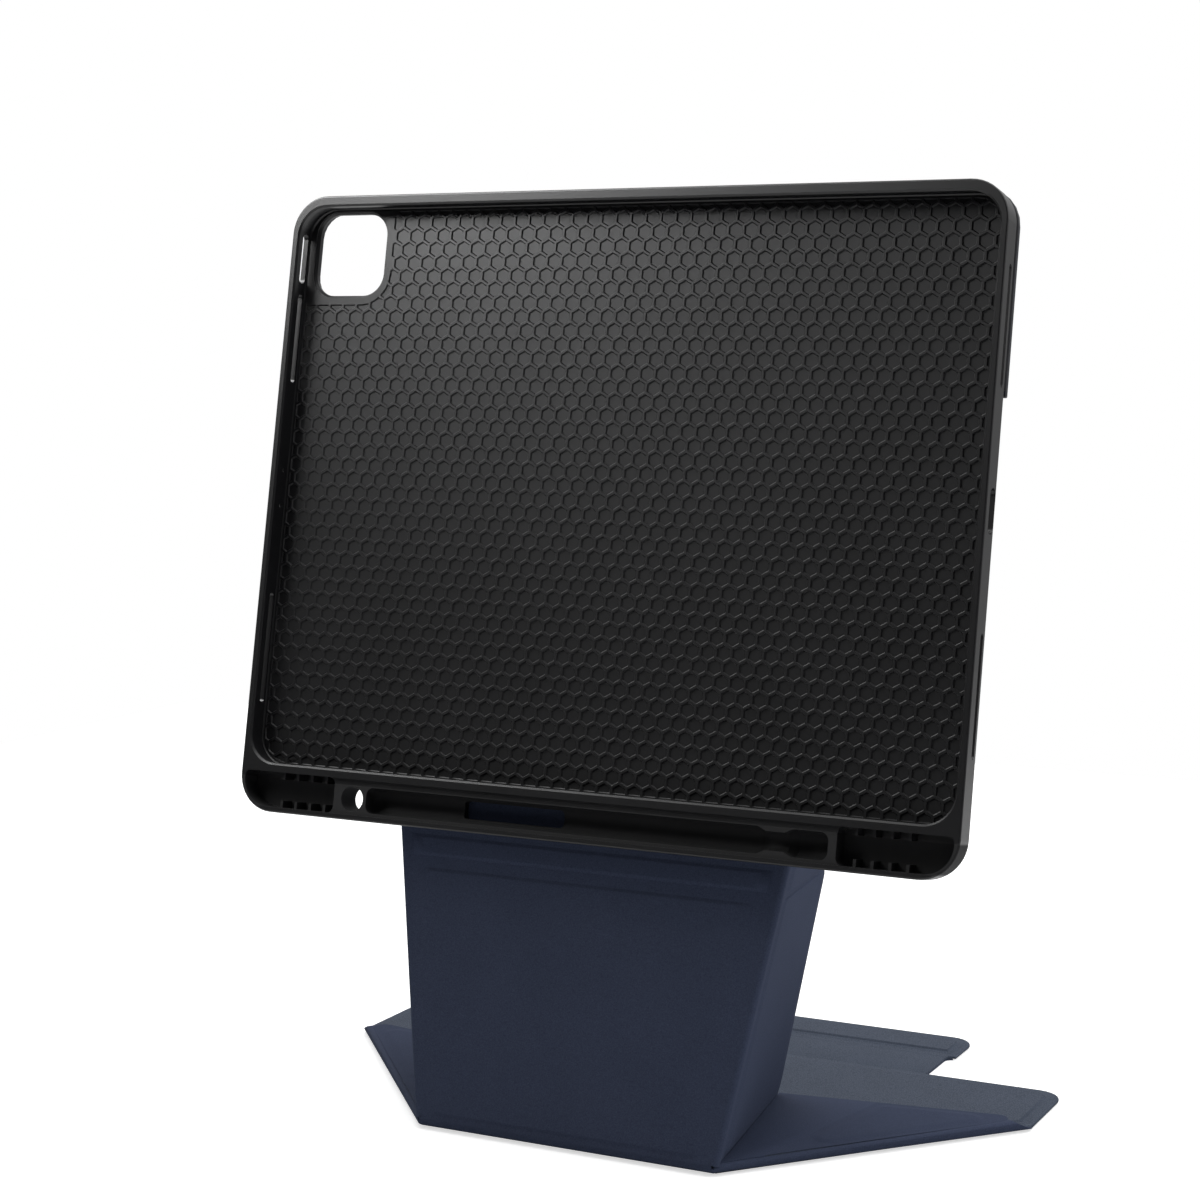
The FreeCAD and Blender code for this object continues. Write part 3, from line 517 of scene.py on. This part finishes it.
def place(obj, matrix, finish, angle=35):
    """Puts a piece made in sheet millimetres into the row frame, in metres, with its finish."""
    material, slot = finish
    obj.data.transform(Matrix.Scale(MM, 4) @ matrix)
    obj.matrix_world = Matrix.Identity(4)
    obj.data.materials.clear()
    obj.data.materials.append(material)
    take(obj)
    bpy.ops.object.shade_smooth_by_angle(angle=math.radians(angle))
    return obj


def soft_edges(obj, width, segments=3, angle=50):
    modifier(obj, "BEVEL", width=width, segments=segments, limit_method="ANGLE",
             angle_limit=math.radians(angle), harden_normals=False)


# Outlines on the flat sheet, in millimetres, anticlockwise seen from the lining side

def column_edge(rise):
    return FOLD_HALF + SLOPE * rise - ROLL_TRIM * SLANT


def column_points(low, high):
    return [(-column_edge(low), low), (column_edge(low), low),
            (column_edge(high), high), (-column_edge(high), high)]


def spine_points():
    low = LEG_TOP + CREASE_GAP
    high = SPINE_TOP - CREASE_GAP
    corners = ((-1, low), (1, low), (1, high), (-1, high))
    return [(side * (column_edge(rise) + SPINE_REACH), rise, 0.0) for side, rise in corners]


def wing_edge(rise):
    return FOLD_HALF + SLOPE * rise + ROLL_TRIM * SLANT


def wing_outline(side):
    notch = SHEET_HALF - WING_NOTCH
    points = [
        (wing_edge(MITRE_GAP), MITRE_GAP),
        (SHEET_HALF, MITRE_GAP, WING_FOOT_ROUND),
        (SHEET_HALF, NOTCH_LOW, NOTCH_LOW_ROUND),
        (notch, NOTCH_LOW + NOTCH_SLANT, NOTCH_ROUND),
        (notch, NOTCH_HIGH - NOTCH_SLANT, NOTCH_ROUND),
        (SHEET_HALF, NOTCH_HIGH, NOTCH_HIGH_ROUND),
        (SHEET_HALF, WING_OUTER, WING_TOP_ROUND),
        (wing_edge(WING_TOP), WING_TOP),
    ]
    return mirror_points(points, side)


def wing_field(side, low, high, outer, outer_low, outer_high,
               foot_round=WING_FIELD_ROUND, top_round=WING_FIELD_ROUND):
    points = [(wing_edge(low), low, WING_FIELD_ROUND), (outer, outer_low, foot_round),
              (outer, outer_high, top_round), (wing_edge(high), high, WING_FIELD_ROUND)]
    return mirror_points(points, side)


def base_points(trim):
    fold_end = FOLD_HALF - (CREASE_GAP - trim * math.cos(TURN)) / math.sin(TURN)
    corner = -((SHEET_HALF - FOLD_HALF) * math.tan(TURN) + CREASE_GAP / math.cos(TURN))
    return [(-fold_end, -trim), (-SHEET_HALF, corner), (-SHEET_HALF, -BASE_DEPTH, PANEL_CORNER),
            (SHEET_HALF, -BASE_DEPTH, PANEL_CORNER), (SHEET_HALF, corner), (fold_end, -trim)]


def web_line(across):
    return WEB_S - (across - WEB_X) * math.tan(WEB_TURN)


def gusset_points(side):
    # the tip is where the edge along the web runs into the fold to the base
    rise = FOLD_HALF * math.tan(TURN) + CREASE_GAP / math.cos(TURN) - WEB_S - WEB_X * math.tan(WEB_TURN)
    tip = rise / (math.tan(TURN) - math.tan(WEB_TURN))
    low = -(SHEET_HALF - FOLD_HALF) * math.tan(TURN) + CREASE_GAP / math.cos(TURN)
    points = [(tip, web_line(tip)), (SHEET_HALF, low, FOLD_END_ROUND), (SHEET_HALF, web_line(SHEET_HALF))]
    return mirror_points(points, side)


def tab_points():
    near = -(BASE_DEPTH + STRIP_WIDTH + CREASE_GAP)
    far = -(BASE_DEPTH + STRIP_WIDTH + TAB_WIDTH)
    return [(-TAB_HALF, near), (-TAB_HALF, far, PANEL_CORNER), (TAB_HALF, far, PANEL_CORNER),
            (TAB_HALF, near)]


# Panels: leather on the outside, microfibre on the inside, each stepped up where a board lies under it

def skin(name, outline, levels, fields, inset, slope, corner, steps, fade, edge, mitred, matrix, finish):
    """One skin of a panel; its levels are the hidden side, the unboarded rim and the raised face."""
    hidden, rim, face = levels
    obj = slab(name, outline, hidden, rim)
    if mitred:
        cut(obj, (0, MITRE_GAP, 0), (0, 1, -MITRE), clear_inner=True)
        face_outwards(obj)
    soft_edges(obj, edge)
    foot = rim + FIELD_SINK * (1 if hidden > rim else -1)
    for field in fields:
        field = [(p[0], p[1], p[2] if len(p) > 2 else corner) for p in field]
        raised = pad(name + "_field", inset_points(field, inset), foot, face, slope, steps, fade)
        merge(obj, raised)
        bpy.data.objects.remove(raised)
    place(obj, matrix, finish)
    modifier(obj, "WEIGHTED_NORMAL", keep_sharp=True)
    return obj


def dress(obj, body, nodes):
    """Hangs a skin on its body in place of CAD nodes."""
    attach(obj, body)
    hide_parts(*nodes)


def panel(name, outline, fields, matrix, body, cover_nodes, lining_nodes, corner=FIELD_CORNER,
          leather_step=LEATHER_STEP, leather_inset=0.7, leather_slope=2.2, steps=SOFT,
          lining_inset=1.4, lining_slope=1.8, fade=0.0, mitred=False):
    cover = skin(name + "_leather", outline, (COVER_BACK, leather_step, 0.0), fields, leather_inset,
                 leather_slope, corner, steps, 0.0, LEATHER_EDGE, mitred, matrix, LEATHER)
    dress(cover, body, cover_nodes)
    lining = skin(name + "_microfibre", inset_points(outline, LINING_TRIM),
                  (BOARD_TOP, THICK - LINING_STEP, THICK), fields, lining_inset,
                  lining_slope, corner, SOFT, fade, LINING_EDGE, mitred, matrix, LINING)
    dress(lining, body, lining_nodes)


column = column_matrix()
panel("column_sheet", column_points(ROLL_TRIM, HINGE - CREASE_GAP),
      [column_points(ROLL_TRIM, LEG_TOP - CREASE_GAP), spine_points(),
       column_points(SPINE_TOP + CREASE_GAP, HINGE - CREASE_GAP)],
      column, "column", ["leg_cover", "spine_cover", "back_cover"],
      ["leg_lining", "spine_lining", "back_lining"], fade=5.0)
for side, mark, body in ((1, "_r", "wing_right"), (-1, "_l", "wing_left")):
    foot = THICK * MITRE
    lower = wing_field(side, foot, WING_CREASE_IN - CREASE_GAP, SHEET_HALF, foot,
                       WING_CREASE_OUT - CREASE_GAP, WING_FIELD_FOOT, WING_FIELD_CREASE)
    band = wing_field(side, WING_CREASE_IN + CREASE_GAP, SPINE_TOP - CREASE_GAP,
                      SHEET_HALF - WING_NOTCH - WING_BAND_BACK, WING_CREASE_OUT + CREASE_GAP,
                      SPINE_TOP - CREASE_GAP)
    upper = wing_field(side, SPINE_TOP + CREASE_GAP, WING_TOP, SHEET_HALF, SPINE_TOP + CREASE_GAP,
                       WING_OUTER, WING_FIELD_CREASE)
    panel("wing_sheet" + mark, wing_outline(side), [lower, band, upper], wing_matrix(side), body,
          ["wing_cover" + mark], ["wing_lining" + mark],
          lining_inset=0.4, lining_slope=0.8, fade=6.0, mitred=True)
for side, mark, body in ((1, "_r", "gusset_right"), (-1, "_l", "gusset_left")):
    outline = gusset_points(side)
    panel("gusset_sheet" + mark, outline, [[p[:2] for p in outline]], gusset_matrix(side), body,
          ["gusset_cover" + mark], ["gusset_lining" + mark],
          corner=GUSSET_CORNER, lining_inset=1.0, lining_slope=5.0)
for name, outline, field in (("base", base_points(ROLL_TRIM), base_points(BASE_FIELD_TRIM)),
                             ("tab", tab_points(), tab_points())):
    panel(name + "_sheet", outline, [field], base_matrix(), name, [name + "_cover"], [name + "_lining"],
          corner=0.0, leather_step=BORDER_STEP, leather_inset=2.6, leather_slope=3.0,
          steps=BORDER)

# Top panel, with the camera window cut through both skins; a rim of its lining shows beside the moulding
CUTTER_LOW = -5.0
CUTTER_HIGH = 8.0
SHOWN_RIM = 2.0
top_points = [(-SHEET_HALF, HINGE + CREASE_GAP), (SHEET_HALF, HINGE + CREASE_GAP),
              (SHEET_HALF, TOP_EDGE, TOP_CORNER), (-SHEET_HALF, TOP_EDGE, TOP_CORNER)]
cutter = slab("camera_cutter", window_points(SHELL_FOOT), CUTTER_LOW, CUTTER_HIGH)
top_leather = slab("top_panel_leather", top_points, 0.0, COVER_BACK)
merge(top_leather, cutter, "DIFFERENCE")
soft_edges(top_leather, LEATHER_EDGE)
place(top_leather, column, LEATHER)
dress(top_leather, "tablet_holder", ["top_panel_cover"])
top_cloth = slab("top_panel_microfibre", inset_points(top_points, LINING_TRIM), BOARD_TOP, THICK)
merge(top_cloth, cutter, "DIFFERENCE")
soft_edges(top_cloth, LINING_EDGE)
pick_faces(top_cloth, lambda face: face.normal.z > 0.9)
bpy.ops.mesh.inset(thickness=SHOWN_RIM, depth=0)
leave()
glued = {face.index for face in top_cloth.data.polygons if face.select}
place(top_cloth, column, LINING)
dress(top_cloth, "tablet_holder", ["top_panel_lining"])
bpy.data.objects.remove(cutter)
# the cut edges are painted black, and so is the lining's rim
outward = column.to_3x3() @ Vector((0, 0, 1))
for obj in (top_leather, top_cloth):
    obj.data.materials.append(EDGE)
for face in top_leather.data.polygons:
    face.material_index = 1 if abs(face.normal.dot(outward)) < 0.5 else 0
for face in top_cloth.data.polygons:
    face.material_index = 0 if face.index in glued else 1

# Soft strip between the base and the tab; its ends flare out to the wider tab in a quarter circle
FLARE = 2.6
FLARE_STEPS = 6
strip_near = -(BASE_DEPTH + CREASE_GAP)
strip_far = -(BASE_DEPTH + STRIP_WIDTH - CREASE_GAP)
strip_half = STRIP_HALF - CREASE_GAP
flare = []
for k in range(FLARE_STEPS + 1):
    angle = math.radians(90 * k / FLARE_STEPS)
    flare.append((strip_half + FLARE * (1 - math.cos(angle)), strip_far + FLARE * (1 - math.sin(angle))))
strip_points = [(-x, s) for x, s in flare] + flare[::-1]
strip_points += [(strip_half, strip_near), (-strip_half, strip_near)]
for name, low, high, edge, finish, node, rests_on in (
        ("tab_strip_leather", BORDER_STEP, COVER_BACK, 0.35, LEATHER, "tab_hinge_cover",
         ["tab_strip_microfibre"]),
        ("tab_strip_microfibre", BOARD_TOP, THICK, 0.25, LINING, "tab_hinge_lining",
         ["base_board", "tab_board"])):
    strip = slab(name, strip_points, low, high)
    soft_edges(strip, edge)
    place(strip, base_matrix(), finish)
    dress(strip, "tab_strip", [node])


# Creases: the skin rolls round each fold line
ROLL_STEPS = 12
FLAT_STEPS = 4
# Levels of a roll's lining and leather, from the sheet's outside; thinner leather at some folds
ROLL_OUT = THICK - LINING_STEP - SKIN_GAP
ROLL_MID = 1.4
ROLL_IN = 0.3
GUSSET_ROLL_IN = 0.6
TILT_ROLL_IN = 0.5
TAB_ROLL_IN = 1.03
# How far a rounded roll reaches under the panels
ROLL_TUCK = 2.4
# The wing's fold starts this far above the corner where all the folds meet, and a toe fills the corner
TOE_CLEAR = 1.4
TOE_RADIUS = TOE_CLEAR - 0.1
TOE_FLAT = 0.6


def crease(name, matrix, foot, along, into, length, sweep, bodies, base, outer, inner, finish,
           radius=0.0, tuck=1.1, end_back=0.0, toe=1.0):
    """Rolled skin from one panel to the next: a strip with an arc section, drawn round the fold line."""
    turn = math.radians(sweep)
    radius = max(radius, base)
    start = (radius - base) * math.tan(turn / 2) if radius > base else 0.0
    section = []
    for depth, order in ((outer, 1), (inner, -1)):
        arc = radius - base + depth
        line = [(tuck, depth)]
        count = ROLL_STEPS if sweep > 1 else FLAT_STEPS
        for k in range(count + 1):
            angle = turn * k / count
            line.append((start - arc * math.sin(angle), base - radius + arc * math.cos(angle)))
        last = line[-1]
        line.append((last[0] - (tuck - start) * math.cos(turn), last[1] - (tuck - start) * math.sin(turn)))
        section += line[::order]
    half = len(section) // 2
    obj = ngon(name, section, 0.0)
    pull(obj, length)
    # the far end follows the sheet's own edge, and the near end draws in towards the corner
    for vertex in obj.data.vertices:
        spot = min(range(2 * half), key=lambda k: (Vector(section[k]) - vertex.co.xy).length)
        order = min(spot, 2 * half - 1 - spot)
        if vertex.co.z > length / 2:
            share = min(max((order - 1) / (half - 3), 0), 1)
            vertex.co.z -= end_back * share * share * (3 - 2 * share)
        else:
            vertex.co.x *= toe
            vertex.co.y *= toe
    face_outwards(obj)
    across = Vector(into).normalized()
    line = Vector(along).normalized()
    full = matrix @ Matrix((
        (across.x, 0, line.x, foot[0]),
        (across.y, 0, line.y, foot[1]),
        (across.z, 1, line.z, foot[2]),
        (0, 0, 0, 1),
    ))
    middle = (outer + inner) / 2
    arc = radius - base + middle
    last = Vector((start - arc * math.sin(turn), base - radius + arc * math.cos(turn), length / 2))
    last = full @ (last - Vector((math.cos(turn), math.sin(turn), 0)) * (tuck - start))
    place(obj, full, finish, 60)
    face_outwards(obj)
    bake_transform(obj)


def fold(name, matrix, foot, along, into, length, sweep, bodies, outer, middle, inner, **shape):
    """Microfibre on the outside of the fold and leather on its inside."""
    line = (matrix, foot, along, into, length, sweep, bodies, outer)
    crease(name + "_microfibre", *line, outer, middle, LINING, **shape)
    crease(name + "_leather", *line, middle - SKIN_GAP, inner, LEATHER, **shape)


fold("front_fold_roll", column, (-FOLD_HALF, 0, 0), (1, 0, 0), (0, 1, 0), 2 * FOLD_HALF, 90 + LEAN,
     ("column", "base"), ROLL_OUT, ROLL_MID, ROLL_IN, radius=ROLL_RADIUS, tuck=ROLL_TUCK)
for side, mark, word in ((1, "_r", "right"), (-1, "_l", "left")):
    fold("wing_fold_roll" + mark, column, (side * (FOLD_HALF + SLOPE * TOE_CLEAR), TOE_CLEAR, 0),
         (side * SLOPE, 1, 0), (-side, SLOPE, 0), (WING_TOP - TOE_CLEAR) * SLANT, wing_turn(),
         ("column", "wing_" + word), ROLL_OUT, ROLL_MID, ROLL_IN, radius=WING_ROLL_RADIUS, tuck=ROLL_TUCK)
    fold("gusset_fold_roll" + mark, base_matrix(), (side * FOLD_HALF, 0, -FOLD_GAP / 2),
         (side * math.cos(TURN), -math.sin(TURN), 0), (-side * math.sin(TURN), -math.cos(TURN), 0),
         (SHEET_HALF - FOLD_HALF) / math.cos(TURN), 180, ("base", "gusset_" + word),
         ROLL_OUT + FOLD_GAP / 2, ROLL_MID + FOLD_GAP / 2, GUSSET_ROLL_IN, end_back=FOLD_END_BACK, toe=0.7)
fold("shell_tilt_roll", column, (-column_edge(HINGE), HINGE, 0), (1, 0, 0), (0, -1, 0),
     2 * column_edge(HINGE), 0, ("column", "tablet_holder"), ROLL_OUT, ROLL_MID, TILT_ROLL_IN)
for name, depth, bodies in (("tab_lift_roll", BASE_DEPTH, ("base", "tab_strip")),
                            ("tab_fold_roll", BASE_DEPTH + STRIP_WIDTH, ("tab_strip", "tab"))):
    fold(name, base_matrix(), (-strip_half, -depth, 0), (1, 0, 0), (0, 1, 0), 2 * strip_half, 0, bodies,
         ROLL_OUT, BOARD_TOP, TAB_ROLL_IN)

# Corner where the folds meet: the skin gathers into a small rounded toe
for side, mark in ((1, "_r"), (-1, "_l")):
    clear_selection()
    bpy.ops.mesh.primitive_uv_sphere_add(segments=24, ring_count=14, radius=TOE_RADIUS)
    toe = bpy.context.object
    toe.name = "fold_corner" + mark
    toe.data.name = toe.name
    cut(toe, (0, 0, TOE_FLAT), (0, 0, 1), clear_outer=True)
    face_outwards(toe)
    place(toe, Matrix.Translation((side * FOLD_HALF, FOLD_PLACE, THICK)), LINING)
    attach(toe, "base")


# Webs: the soft triangle between each gusset's board and the wing's foot, which it meets in a mitred valley.
# Each starts as a strip that reaches far enough back, and is cut a little past the board and the fold.
WEB_MID = 0.9
WEB_SINK = 0.005
WEB_FAR = -60.0
WEB_UNDER_BOARD = 0.9
WEB_PAST_FOLD = 0.6
# A thin hem reaches under the wing's foot, so that the crease stays shut when the sheet lies flat
WEB_HEM = 1.1
HEM_START = FOLD_HALF + 1.0
HEM_END = SHEET_HALF - 5.5
HEM_ROOT = -2.5
HEM_LOW = 0.05
HEM_HIGH = 0.25


def web(name, side, low, high, finish, hem=0.0):
    section = [(WEB_FAR, low), (-MITRE_GAP - MITRE * low, low), (-MITRE_GAP - MITRE * high, high),
               (WEB_FAR, high)]
    obj = ngon(name, section, 0.0)
    pull(obj, SHEET_HALF - FOLD_HALF)
    # the section was drawn as (s, z) and pulled along x
    obj.data.transform(Matrix(((0, 0, side, side * FOLD_HALF), (1, 0, 0, 0), (0, 1, 0, 0), (0, 0, 0, 1))))
    face_outwards(obj)
    # cut along the stiff triangle's edge, and along the fold to the base
    cut(obj, (side * WEB_X, WEB_S - WEB_UNDER_BOARD, 0),
        (side * math.sin(WEB_TURN), math.cos(WEB_TURN), 0), clear_inner=True)
    cut(obj, (side * FOLD_HALF, WEB_PAST_FOLD, 0), (side * math.sin(TURN), math.cos(TURN), 0),
        clear_inner=True)
    face_outwards(obj)
    if hem:
        strip = [(HEM_START + 1.0, HEM_ROOT), (HEM_END, HEM_ROOT), (HEM_END, hem), (HEM_START, hem)]
        tongue = slab(name + "_hem", mirror_points(strip, side), low + HEM_LOW, low + HEM_HIGH)
        merge(obj, tongue)
        bpy.data.objects.remove(tongue)
    soft_edges(obj, LINING_EDGE, 2, 60)
    place(obj, gusset_matrix(side), finish, 50)
    face_outwards(obj)
    return obj


for side, mark, word in ((1, "_r", "right"), (-1, "_l", "left")):
    web_cloth = web("gusset_web_microfibre" + mark, side, WEB_MID, THICK - LINING_STEP - WEB_SINK, LINING)
    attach(web_cloth, "gusset_" + word)
    web_leather = web("gusset_web_leather" + mark, side, LEATHER_STEP, WEB_MID - SKIN_GAP, LEATHER, WEB_HEM)
    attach(web_leather, "gusset_" + word)
    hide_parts("gusset_web" + mark)


# Honeycomb on the shell's floor: hexagonal pits between flush ridges, cut off along the walls and the camera
PITCH = 6.0
HONEY_TOP = SHELL_FLOOR + 0.6
HONEY_ROOT = SHELL_FLOOR - 0.02
CAVITY_HALF = 140.5
CAVITY_LOW = 17.5
CAVITY_HIGH = 232.8
CAVITY_ROUND = 12.2
HONEY_EDGE = 0.8
# Plain band round the camera hole, in the upper left corner
BAND_RIGHT = -103.0
BAND_LOW = 196.0
BAND_ROUND = 11.7
BAND_OUT = -160
BAND_UP = 260
# The cutting pieces stand this far above and below the comb
AREA_PAST = 3
BAND_PAST = 4
# Only cells at least this open, as twice the area over the rim, get a pit
LEAST_CELL = 1.15
RIDGE_HALF = 0.4
PIT_SLOPE = 0.36
PIT_DEPTH = 0.56


def honeycomb():
    radius = PITCH / math.sqrt(3)
    angles = [math.radians(60 * k) for k in range(6)]
    corners = [(radius * math.sin(angle), radius * math.cos(angle)) for angle in angles]
    comb = ngon("shell_honeycomb", corners, HONEY_ROOT)
    edit_all(comb)
    bpy.ops.mesh.duplicate_move(TRANSFORM_OT_translate={"value": (PITCH / 2, 1.5 * radius, 0)})
    leave()
    columns = int(2 * CAVITY_HALF / PITCH) + 3
    rows = int((CAVITY_HIGH - CAVITY_LOW) / (3 * radius)) + 3
    for count, step in ((columns, (PITCH, 0, 0)), (rows, (0, 3 * radius, 0))):
        modifier(comb, "ARRAY", count=count, use_relative_offset=False, use_constant_offset=True,
                 constant_offset_displace=step)
    edit_all(comb)
    bpy.ops.mesh.remove_doubles(threshold=0.05)
    bpy.ops.mesh.select_all(action="SELECT")
    bpy.ops.transform.translate(value=(-CAVITY_HALF - PITCH, CAVITY_LOW - radius, 0))
    leave()
    pull(comb, HONEY_TOP - HONEY_ROOT)
    face_outwards(comb)
    half = CAVITY_HALF - HONEY_EDGE
    floor_points = box_points(-half, half, CAVITY_LOW + HONEY_EDGE, CAVITY_HIGH - HONEY_EDGE,
                              CAVITY_ROUND - HONEY_EDGE)
    band_points = [(BAND_OUT, BAND_LOW), (BAND_RIGHT, BAND_LOW, BAND_ROUND), (BAND_RIGHT, BAND_UP),
                   (BAND_OUT, BAND_UP)]
    area = slab("honeycomb_area", floor_points, SHELL_FLOOR - AREA_PAST, HONEY_TOP + AREA_PAST)
    band = slab("camera_band", band_points, SHELL_FLOOR - BAND_PAST, HONEY_TOP + BAND_PAST)
    plain = slab("plain_band", floor_points, HONEY_ROOT, HONEY_TOP)
    hole = slab("camera_hole", window_points(0.0), SHELL_FLOOR - BAND_PAST, HONEY_TOP + BAND_PAST)
    merge(plain, band, "INTERSECT")
    merge(plain, hole, "DIFFERENCE")
    merge(area, band, "DIFFERENCE")
    merge(comb, area, "INTERSECT")
    for tool in (area, band, hole):
        bpy.data.objects.remove(tool)
    pick_faces(comb, lambda face: face.normal.z < -0.9)
    bpy.ops.mesh.delete(type="FACE")
    leave()

    def open_cell(face):
        spots = [comb.data.vertices[i].co for i in face.vertices]
        rim = sum((a - b).length for a, b in zip(spots, spots[1:] + spots[:1]))
        return face.normal.z > 0.9 and 2 * face.area / rim > LEAST_CELL

    pick_faces(comb, open_cell)
    for width, depth in ((RIDGE_HALF, 0), (PIT_SLOPE, -PIT_DEPTH)):
        bpy.ops.mesh.inset(thickness=width, depth=depth, use_individual=True, use_even_offset=True)
    leave()
    take(comb)
    plain.select_set(True)
    bpy.ops.object.join()
    return comb


comb = honeycomb()
place(comb, shell_matrix(), TPU, 25)
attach(comb, "tablet_holder")

# Camera: the photograph's place, angle and lens, in metres and sensor millimetres
CAMERA_PLACE = Vector((0.39488, -0.82613, 0.29188))
CAMERA_RIGHT = Vector((0.8935, 0.4491, 0.0)).normalized()
CAMERA_AHEAD = Vector((-0.4463, 0.8881, -0.1101)).normalized()
CAMERA_LENS = 74.1
CAMERA_SENSOR = 36.0
camera_data = bpy.data.cameras.new("camera")
camera_data.lens = CAMERA_LENS
camera_data.sensor_width = CAMERA_SENSOR
camera_data.sensor_fit = "HORIZONTAL"
camera_data.clip_start = 0.01
camera = bpy.data.objects.new("camera", camera_data)
bpy.context.scene.collection.objects.link(camera)
axes = (CAMERA_RIGHT, CAMERA_RIGHT.cross(CAMERA_AHEAD), -CAMERA_AHEAD, CAMERA_PLACE)
camera.matrix_world = Matrix([[axis[i] for axis in axes] for i in range(3)] + [[0, 0, 0, 1]])
bpy.context.scene.camera = camera

# CAD nodes: the moulding, the inner pieces of the sandwich, and the skins that the scene's pieces replace
for name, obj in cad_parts.items():
    if name == "shell":
        material = TPU[0]
    elif "board" in name:
        material = BOARD
    elif "magnets" in name or "plates" in name:
        material = STEEL
    elif "adhesive" in name:
        material = FILM
    else:
        material = LEATHER[0]
    obj.data.materials.clear()
    obj.data.materials.append(material)

# Floor, light and background
WHITE = (1, 1, 1, 1)
PAPER_WHITE = (0.8, 0.8, 0.8, 1)
FLOOR_SIZE = 1.5
FLOOR_LEVEL = -0.0002


def straight_rays(material, path):
    return maths(material, "MAXIMUM", (path, "Is Camera Ray"), (path, "Is Transmission Ray"))


clear_selection()
bpy.ops.mesh.primitive_plane_add(size=FLOOR_SIZE, location=(0, 0, FLOOR_LEVEL))
floor = bpy.context.object
floor.name = "floor"
sheet = new_material("white_studio_paper")
path = add_node(sheet, "ShaderNodeLightPath")
paper = add_node(sheet, "ShaderNodeBsdfDiffuse", inputs={"Color": PAPER_WHITE})
straight = straight_rays(sheet, path)
lift = maths(sheet, "MULTIPLY_ADD", (straight, 0), 0.5, 0.12)
white = add_node(sheet, "ShaderNodeEmission", inputs={"Color": WHITE}, links={"Strength": (lift, 0)})
both = add_node(sheet, "ShaderNodeAddShader", links={0: (paper, 0), 1: (white, 0)})
shown = maths(sheet, "MAXIMUM", (straight, 0), (path, "Is Glossy Ray"))
choose = add_node(sheet, "ShaderNodeMixShader", links={"Fac": (shown, 0), 1: (paper, 0), 2: (both, 0)})
finish_material(sheet, choose)
floor.data.materials.append(sheet)

# White backdrop behind the object, a dim studio in front of it, and more light from above
world = bpy.data.worlds.new("studio")
bpy.context.scene.world = world
world.use_nodes = True
world.node_tree.nodes.clear()
path = add_node(world, "ShaderNodeLightPath")
direction = add_node(world, "ShaderNodeTexCoord")
parts = add_node(world, "ShaderNodeSeparateXYZ", links={"Vector": (direction, "Generated")})
depth = remap(world, (parts, "Y"), (-0.5, 0.5), (0.085, 0.8), "SMOOTHSTEP")
height = remap(world, (parts, "Z"), (0.3, 1.0), (0.0, 0.6), "SMOOTHSTEP")
level = maths(world, "ADD", (depth, 0), (height, 0))
soft = add_node(world, "ShaderNodeBackground", inputs={"Color": WHITE}, links={"Strength": (level, 0)})
straight = straight_rays(world, path)
# gloss shows the white backdrop only where it stands, behind the object
behind = remap(world, (parts, "Y"), (-0.4, 0.3), (0.04, 1.0), "SMOOTHSTEP")
above = remap(world, (parts, "Z"), (0.0, 0.5), (0.35, 1.0), "SMOOTHSTEP")
backdrop = maths(world, "MULTIPLY", (behind, 0), (above, 0))
white_level = maths(world, "MAXIMUM", (straight, 0), (backdrop, 0))
seen = add_node(world, "ShaderNodeBackground", inputs={"Color": WHITE}, links={"Strength": (white_level, 0)})
pick = maths(world, "MAXIMUM", (straight, 0), (path, "Is Glossy Ray"))
mix = add_node(world, "ShaderNodeMixShader", links={"Fac": (pick, 0), 1: (soft, 0), 2: (seen, 0)})
add_node(world, "ShaderNodeOutputWorld", links={"Surface": (mix, 0)})


def softbox(name, spot, target, size, power):
    data = bpy.data.lights.new(name, "AREA")
    data.shape = "RECTANGLE"
    data.size, data.size_y = size
    data.energy = power
    lamp = bpy.data.objects.new(name, data)
    bpy.context.scene.collection.objects.link(lamp)
    lamp.location = spot
    lamp.rotation_euler = (Vector(target) - Vector(spot)).to_track_quat("-Z", "Y").to_euler()
    return lamp


softbox("top_softbox", (0.15, 0.1, 1.4), (0, 0, 0.1), (1.2, 1.0), 6.8)
softbox("right_softbox", (1.2, 0.1, 0.95), (0, 0, 0.15), (0.8, 0.8), 3.2)
# the near softbox is a gloss light: it shows in the moulding's sheen and adds nothing to the shaded stand
gloss = softbox("front_left_softbox", (-0.44, -0.30, 0.75), (-0.06, -0.02, 0.30), (0.48, 0.42), 9.5)
gloss.visible_diffuse = False

bpy.context.scene.view_settings.view_transform = "Standard"
